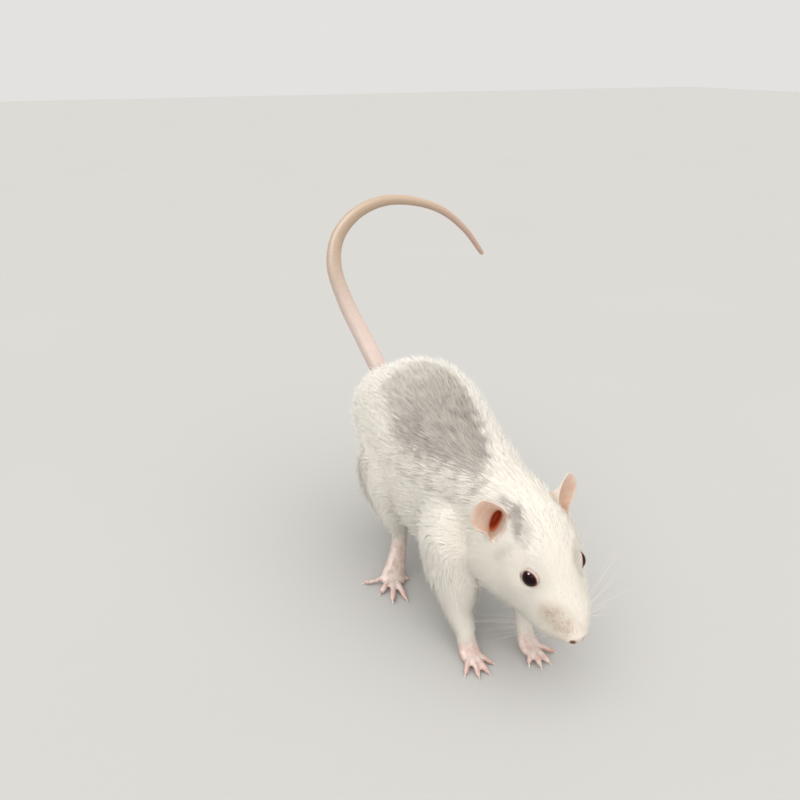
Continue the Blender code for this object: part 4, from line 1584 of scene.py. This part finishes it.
@dataclass
class Locks:
    """Many locks at once, one row for each."""

    roots: np.ndarray
    normals: np.ndarray
    ways: np.ndarray
    length: np.ndarray
    lift: np.ndarray
    width: np.ndarray
    patch: np.ndarray
    grey: np.ndarray
    # Painted shade of the muzzle's whisker pad, for each lock.
    dusk: np.ndarray
    chance: np.ndarray

    def part(self, chosen: np.ndarray) -> "Locks":
        """Some of the locks, by their numbers."""
        return Locks(**{key: value[chosen] for key, value in self.__dict__.items()})

    def shapes(self, form: LockForm) -> Tuple[np.ndarray, ...]:
        """The corners of every lock.

        Args:
            form: How a lock is built.

        Returns:
            Corners, their normals above and their normals below as (locks, corners, 3),
            then their share along the lock and across it as (corners,).
        """
        side = unit(np.cross(self.normals, self.ways))
        rise, lie = np.sin(self.lift)[:, None], np.cos(self.lift)[:, None]
        start = lie * self.ways + rise * self.normals
        reach = self.length[:, None]
        flat = np.sin(self.lift * 0.25)[:, None]
        late = unit(self.ways + flat * self.normals)
        middle = self.roots + 0.5 * reach * start
        tip = middle + 0.5 * reach * late
        if form is LockForm.SPIKE:
            tip = self.roots + reach * start
        above = unit(np.cross(start, side))
        above *= np.sign((above * self.normals).sum(1, keepdims=True))
        half = self.width[:, None] / 2
        sunk = self.roots - 0.0002 * self.normals
        rings = [(sunk, 1.0)] if form is LockForm.SPIKE else [(sunk, 1.0), (middle, 0.85)]
        corners, outward, under, along, across = [], [], [], [], []
        for share, (centre, scale) in zip((0.0, 0.5), rings):
            for sideways, upward, place in ((1.0, 0.0, 1.0), (-1.0, 0.0, 0.0), (0.0, -0.6, 0.5)):
                corners.append(centre + half * scale * (sideways * side + upward * above))
                outward.append(unit(sideways * side * 0.4 + self.normals))
                under.append(unit(sideways * side * 0.7 + late - 0.25 * above))
                along.append(share)
                across.append(place)
        corners.append(tip)
        outward.append(unit(self.normals + 0.35 * late))
        under.append(unit(0.35 * self.normals + late))
        along.append(1.0)
        across.append(0.5)
        corners = np.stack(corners, 1)
        corners[:, :, 2] = np.maximum(corners[:, :, 2], 0.0001)
        normals = np.stack(outward, 1), np.stack(under, 1)
        return corners, *normals, np.array(along), np.array(across)

    def mesh(self, form: LockForm) -> bpy.types.Mesh:
        """One mesh of all the locks.

        Args:
            form: How a lock is built.

        Returns:
            The mesh, with its baking map and what each lock carries.
        """
        corners, outward, under, along, across = self.shapes(form)
        tip = corners.shape[1] - 1
        faces = [(0, 2, 1)]
        for k in range(0, tip - 3, 3):
            for a, b in ((0, 1), (1, 2), (2, 0)):
                faces += [(k + a, k + b, k + b + 3), (k + a, k + b + 3, k + a + 3)]
        faces += [(tip - 3 + a, tip - 3 + b, tip) for a, b in ((0, 1), (1, 2), (2, 0))]
        count = len(corners)
        upper = [all(corner == tip or corner % 3 < 2 for corner in face) for face in faces]
        loops = (np.array(faces)[None] + (np.arange(count) * (tip + 1))[:, None, None]).ravel()
        mesh = bpy.data.meshes.new("locks")
        mesh.vertices.add(count * (tip + 1))
        mesh.vertices.foreach_set("co", corners.astype(np.float32).ravel())
        mesh.loops.add(len(loops))
        mesh.loops.foreach_set("vertex_index", loops.astype(np.int32))
        mesh.polygons.add(len(loops) // 3)
        mesh.polygons.foreach_set("loop_start", np.arange(0, len(loops), 3, dtype=np.int32))
        mesh.update(calc_edges=True)
        mesh.shade_smooth()
        patch = np.repeat(self.patch[:, None, :], tip + 1, axis=1)
        patch = patch + 0.003 * (np.stack([across, along], 1) - 0.5)
        layer = mesh.uv_layers.new(name="OFBake")
        layer.uv.foreach_set("vector", patch.reshape(-1, 2)[loops].astype(np.float32).ravel())
        carry(mesh, "along", np.tile(along, count))
        marked = self.grey[:, np.round(along * 2).astype(int)]
        carry(mesh, "grey", marked.ravel())
        for name in ("dusk", "chance"):
            carry(mesh, name, np.repeat(getattr(self, name), tip + 1))
        spread = np.tile(np.repeat(upper, 3), count)[:, None]
        turned = np.where(spread, outward.reshape(-1, 3)[loops], under.reshape(-1, 3)[loops])
        mesh.normals_split_custom_set(turned)
        return mesh


@dataclass
class Coat:
    """The rat's whole coat, grown on the skin."""

    hide: bpy.types.Object
    coat: CoatMap
    marks: Markings
    eyes: Sequence[Eye]
    ears: Sequence[Ear]
    long_locks: int = 118000
    face_locks: int = 64000
    most: int = 198000
    clumps: int = 12000
    pull: float = 0.14
    nose: Row = (0.0, 0.0002, 0.0008, 0.0024)
    eye_lean: Tuple[float, float] = (0.0052, 0.0080)
    sways: Tuple[Tuple[float, int, float], ...] = ((0.016, 11, 0.11), (0.0045, 21, 0.05))
    way_spread: float = 0.15
    lift_spread: float = 0.085
    stray_share: float = 0.10
    in_ear: float = 0.35
    thin: float = 0.00010
    width_share: float = 0.032

    def unwrap(self) -> None:
        """Unwraps the skin, whose map gives each lock its patch."""
        bpy.context.view_layer.objects.active = self.hide
        self.hide.select_set(True)
        bpy.ops.object.mode_set(mode="EDIT")
        bpy.ops.mesh.select_all(action="SELECT")
        bpy.ops.uv.smart_project(angle_limit=math.radians(66), island_margin=0.004)
        bpy.ops.object.mode_set(mode="OBJECT")

    def scatter(
        self, count: int, weigh: Callable[[np.ndarray], np.ndarray], seed: int
    ) -> Tuple[np.ndarray, np.ndarray, np.ndarray]:
        """Spreads roots over the skin.

        Args:
            count: How many.
            weigh: Gives how dense they stand at some places.
            seed: The draw's seed.

        Returns:
            The roots, their normals and their places on the skin's unwrap.
        """
        mesh = self.hide.data
        mesh.calc_loop_triangles()
        corners = read(mesh.loop_triangles, "vertices", 3, int)
        loops = read(mesh.loop_triangles, "loops", 3, int)
        spots = read(mesh.uv_layers.active.uv, "vector", 2, float)
        places, normals = vertex_places(mesh), vertex_normals(mesh)
        triangles = places[corners]
        area = np.linalg.norm(
            np.cross(triangles[:, 1] - triangles[:, 0], triangles[:, 2] - triangles[:, 0]), axis=1
        )
        weight = np.cumsum(area * weigh(triangles.mean(1)))
        rng = np.random.default_rng(seed)
        chosen = np.searchsorted(weight, rng.uniform(0, weight[-1], count))
        shares = rng.dirichlet((1, 1, 1), count)[:, :, None]
        roots = (places[corners[chosen]] * shares).sum(1)
        facing = unit((normals[corners[chosen]] * shares).sum(1))
        return roots, facing, (spots[loops[chosen]] * shares).sum(1)

    def room(self, places: np.ndarray) -> np.ndarray:
        """How far places lie outside the eyes, the ears' cups and the nose.

        Args:
            places: One row for each place.

        Returns:
            The distance in metres, below 0 where nothing grows.
        """
        gap = np.linalg.norm(places - np.array(HEAD.point(*self.nose[:3])), axis=1) - self.nose[3]
        for eye in self.eyes:
            out, long_way, short_way = (np.array(way) for way in eye.axes())
            offset = places - np.array(eye.centre())
            wide, tall = eye.opening
            flat = np.hypot(offset @ long_way / wide, offset @ short_way / tall)
            near = (offset @ out) > -0.002
            gap = np.minimum(gap, np.where(near, (flat - 1.03) * tall, 1.0))
        for ear in self.ears:
            share, height = ear.cup(places)
            depth = ear.under(share) + 0.0006
            over = (height > -depth) & (height < 0.010)
            gap = np.minimum(gap, np.where(over, (share - 0.97) * 0.005, 1.0))
            behind = (height <= -depth) & (share < 1.1)
            gap = np.minimum(gap, np.where(behind, -height - 0.0009, 1.0))
        return gap

    def dress(self, roots: np.ndarray, normals: np.ndarray, patch: np.ndarray, seed: int) -> Locks:
        """Gives every root its lock.

        Args:
            roots: Where the locks grow.
            normals: The skin's normals there.
            patch: Their places on the skin's unwrap.
            seed: The draw's seed.

        Returns:
            The locks.
        """
        rng = np.random.default_rng(seed)
        count = len(roots)
        ways, form = self.coat.at(roots)
        for eye in self.eyes:
            out = np.array(eye.axes()[0])
            offset = roots - np.array(eye.centre())
            close, far = self.eye_lean
            lean = ease(-np.linalg.norm(offset, axis=1), -far, -close)[:, None]
            normals = unit(normals * (1 - 0.85 * lean) + 0.85 * lean * out)
            away = unit(offset - (offset @ out)[:, None] * out)
            towards = np.minimum((ways * away).sum(1, keepdims=True), 0.0)
            ways = ways - 1.3 * lean * towards * away
        for size, first, strength in self.sways:
            sway = np.stack([wander(roots, size, first + k) for k in range(3)], 1)
            ways = ways + sway * strength
        ways = ways + rng.normal(size=(count, 3)) * self.way_spread
        ways = unit(ways - (ways * normals).sum(1, keepdims=True) * normals)
        room = self.room(roots)
        for eye in self.eyes:
            roots = eye.drawn_in(roots)
        length = form[:, 0] * rng.uniform(0.72, 1.18, count)
        length = length * (0.36 + 0.64 * ease(room, 0.0, 0.0045))
        for ear in self.ears:
            share, height = ear.cup(roots + length[:, None] * ways)
            inside = (share < 0.45) & (np.abs(height) < 0.006)
            length = length * np.where(inside, self.in_ear, 1.0)
        lift = np.radians(form[:, 1]) * (1 + 0.15 * wander(roots, 0.005, 31))
        lift = lift + rng.normal(size=count) * self.lift_spread
        more = 0.06 * ease(form[:, 0], 0.0040, 0.0060)
        stray = rng.uniform(size=count) < self.stray_share + more
        lift += np.where(stray, rng.uniform(0.1, 0.75, count), 0.0)
        width = (self.thin + self.width_share * length) * np.where(stray, 0.6, 1.0)
        seen = roots + 0.65 * length[:, None] * ways
        rough = wander(roots, 0.005, 3) + rng.normal(size=count) * 0.15
        lie = length[:, None] * ways
        grey = [self.marks.grey(roots + share * lie, rough) for share in (0.0, 0.5, 1.0)]
        return Locks(
            roots=roots, normals=normals, ways=ways, length=length,
            lift=np.clip(lift, 0.06, 1.3), width=width, patch=patch,
            grey=np.stack(grey, 1),
            # Each lock carries the painted shade of the muzzle found about two thirds along its
            # length.
            dusk=self.marks.dusk(seen), chance=rng.uniform(size=count),
        )

    def gather(self, locks: Locks, seed: int) -> None:
        """Draws neighbouring locks together into wisps.

        Args:
            locks: The locks, whose ways and lift are changed.
            seed: The draw's seed.
        """
        rng = np.random.default_rng(seed)
        count = len(locks.roots)
        guides = rng.choice(count, min(self.clumps, count // 4), replace=False)
        tree = KDTree(len(guides))
        for number, guide in enumerate(guides):
            tree.insert(locks.roots[guide], number)
        tree.balance()
        nearest = guides[[tree.find(root)[1] for root in locks.roots]]
        reach = locks.length[:, None]
        own = locks.ways * np.cos(locks.lift)[:, None] + locks.normals * np.sin(locks.lift)[:, None]
        led = locks.roots[nearest] + locks.length[nearest][:, None] * own[nearest]
        pull = rng.uniform(0.0, self.pull, count)[:, None]
        tip = (locks.roots + reach * own) * (1 - pull) + led * pull
        way = unit(tip - locks.roots)
        rise = (way * locks.normals).sum(1)
        locks.lift = np.arcsin(np.clip(rise, 0.04, 0.95))
        locks.ways = unit(way - rise[:, None] * locks.normals)

    def pieces(self, locks: Locks, form: LockForm, name: str, finish: bpy.types.Material) -> None:
        """Adds the locks as pieces, from the nose to the tail.

        Args:
            locks: All the locks.
            form: How a lock is built.
            name: The start of each piece's name.
            finish: The coat's material.
        """
        order = np.argsort(locks.roots[:, 1], kind="stable")
        number = math.ceil(len(order) * form.value / self.most)
        for k, chosen in enumerate(np.array_split(order, number)):
            add_piece(f"{name}_{k + 1}", locks.part(chosen).mesh(form), finish)

    def build(self) -> None:
        """Grows the coat."""
        self.unwrap()
        share = 1.0
        finish = FurFinish().material()

        def long_hair(places: np.ndarray) -> np.ndarray:
            """How dense the long hair stands."""
            length = self.coat.at(places)[1][:, 0]
            return ease(length, 0.0030, 0.0048) * (self.room(places) > 0)

        def short_hair(places: np.ndarray) -> np.ndarray:
            """How dense the short hair stands, closest beside the eyes.

            Args:
                places: One row for each place.

            Returns:
                The density at each place.
            """
            length = self.coat.at(places)[1][:, 0]
            short = ease(-length, -0.0050, -0.0032) * ease(length, 0.0004, 0.0011)
            gaps = [np.linalg.norm(places - np.array(eye.centre()), axis=1) for eye in self.eyes]
            close = 1 + 1.5 * ease(-np.minimum(*gaps), -0.0065, -0.0050)
            return short * close * (self.room(places) > 0)

        locks = self.dress(*self.scatter(int(self.long_locks * share), long_hair, 41), 42)
        self.gather(locks, 43)
        self.pieces(locks, LockForm.BENT, "coat", finish)
        locks = self.dress(*self.scatter(int(self.face_locks * share), short_hair, 51), 52)
        self.pieces(locks, LockForm.SPIKE, "short_coat", finish)


@dataclass
class Studio:
    """A pale floor, soft light and the camera."""

    eye_point: Tuple[float, float, float] = (-0.140046, -0.240718, 0.2066)
    azimuth: float = -24.544
    elevation: float = 25.135
    focal: float = 738.0
    frame_size: float = 800.0
    aim_height: float = 0.05
    sky: Colour = (1.0, 0.99, 0.97)
    sky_strength: float = 0.77
    floor_tones: Tuple[Colour, Colour] = ((0.485, 0.482, 0.473), (0.50, 0.497, 0.488))
    warm: Colour = (1.0, 0.97, 0.93)
    plain: Colour = (1.0, 0.98, 0.95)

    def camera(self) -> None:
        """Sets the camera at the photograph's angle and framing."""
        data = bpy.data.cameras.new("camera")
        data.sensor_width = 36.0
        data.lens = data.sensor_width * self.focal / self.frame_size
        data.clip_start, data.clip_end = 0.01, 20.0
        camera = linked("camera", data)
        camera.location = self.eye_point
        a, e = math.radians(self.azimuth), math.radians(self.elevation)
        back = Vector((math.sin(a) * math.cos(e), -math.cos(a) * math.cos(e), math.sin(e)))
        camera.rotation_mode = "QUATERNION"
        camera.rotation_quaternion = (-back).to_track_quat("-Z", "Y")
        bpy.context.scene.camera = camera

    def light(self, name: str, kind: str, way: Row, **settings: object) -> bpy.types.Object:
        """Adds a soft light that shines at the rat.

        Args:
            name: The light's name.
            kind: AREA for a disc that hangs at a place, SUN for an even light.
            way: Where it hangs, or where it comes from.
            settings: What is set on it.

        Returns:
            The light's object.
        """
        data = bpy.data.lights.new(name, kind)
        for key, value in settings.items():
            setattr(data, key, value)
        light = linked(name, data)
        target = Vector((0, 0, self.aim_height if kind == "AREA" else 0))
        light.location = way if kind == "AREA" else (0, 0, 0)
        light.rotation_mode = "QUATERNION"
        light.rotation_quaternion = (target - Vector(way)).to_track_quat("-Z", "Y")
        return light

    def floor(self) -> None:
        """Lays the floor."""
        form = bmesh.new()
        bmesh.ops.create_grid(form, x_segments=1, y_segments=1, size=4.0)
        mesh = meshed(form, "floor")
        graph = Graph("floor")
        cloud = graph.noise(6.0, 2.0)
        colour = graph.blend(*self.floor_tones, cloud)
        finish = graph.surface(Base_Color=colour, Roughness=0.9, Specular_IOR_Level=0.0)
        mesh.materials.append(finish)
        linked("floor", mesh)

    def build(self) -> None:
        """Sets up the studio."""
        scene = bpy.context.scene
        scene.view_settings.view_transform = "Standard"
        world = bpy.data.worlds.new("studio")
        world.use_nodes = True
        sky = world.node_tree.nodes["Background"]
        sky.inputs["Color"].default_value = (*self.sky, 1)
        sky.inputs["Strength"].default_value = self.sky_strength
        scene.world = world
        self.camera()
        self.floor()
        for name, way, energy, spread, colour in (
            ("key", (-0.02, -0.38, 0.92), 2.15, 110.0, self.warm),
            ("back", (0.15, 0.85, 0.50), 0.4, 100.0, self.plain),
        ):
            self.light(name, "SUN", way, energy=energy, angle=math.radians(spread), color=colour)
        for name, place, energy, size in (
            ("glint", (-0.70, 0.0, 0.77), 26.0, 0.42), ("front", (-0.55, -0.75, 0.60), 0.4, 0.5),
        ):
            lamp = self.light(
                name, "AREA", place, shape="DISK", energy=energy, size=size, color=self.plain
            )
            lamp.visible_diffuse = name != "glint"


def main() -> None:
    """Builds the rat and its studio."""
    logging.basicConfig(level=logging.INFO, format="%(name)s: %(message)s")
    Studio().build()
    coat, marks = CoatMap(), Markings()
    ears = [Ear(side) for side in SIDES.values()]
    hide = Hide(coat, marks, ears).build()
    graph = bpy.context.evaluated_depsgraph_get()
    skin = BVHTree.FromObject(hide, graph)
    eyes = [Eye(side, skin) for side in SIDES.values()]
    for eye in eyes:
        eye.ball()
        eye.lid()
    for ear in ears:
        ear.build()
    Tail().build()
    Claws().build()
    Whiskers(skin).build()
    Coat(hide, coat, marks, eyes, ears).build()


if __name__ == "__main__":
    main()
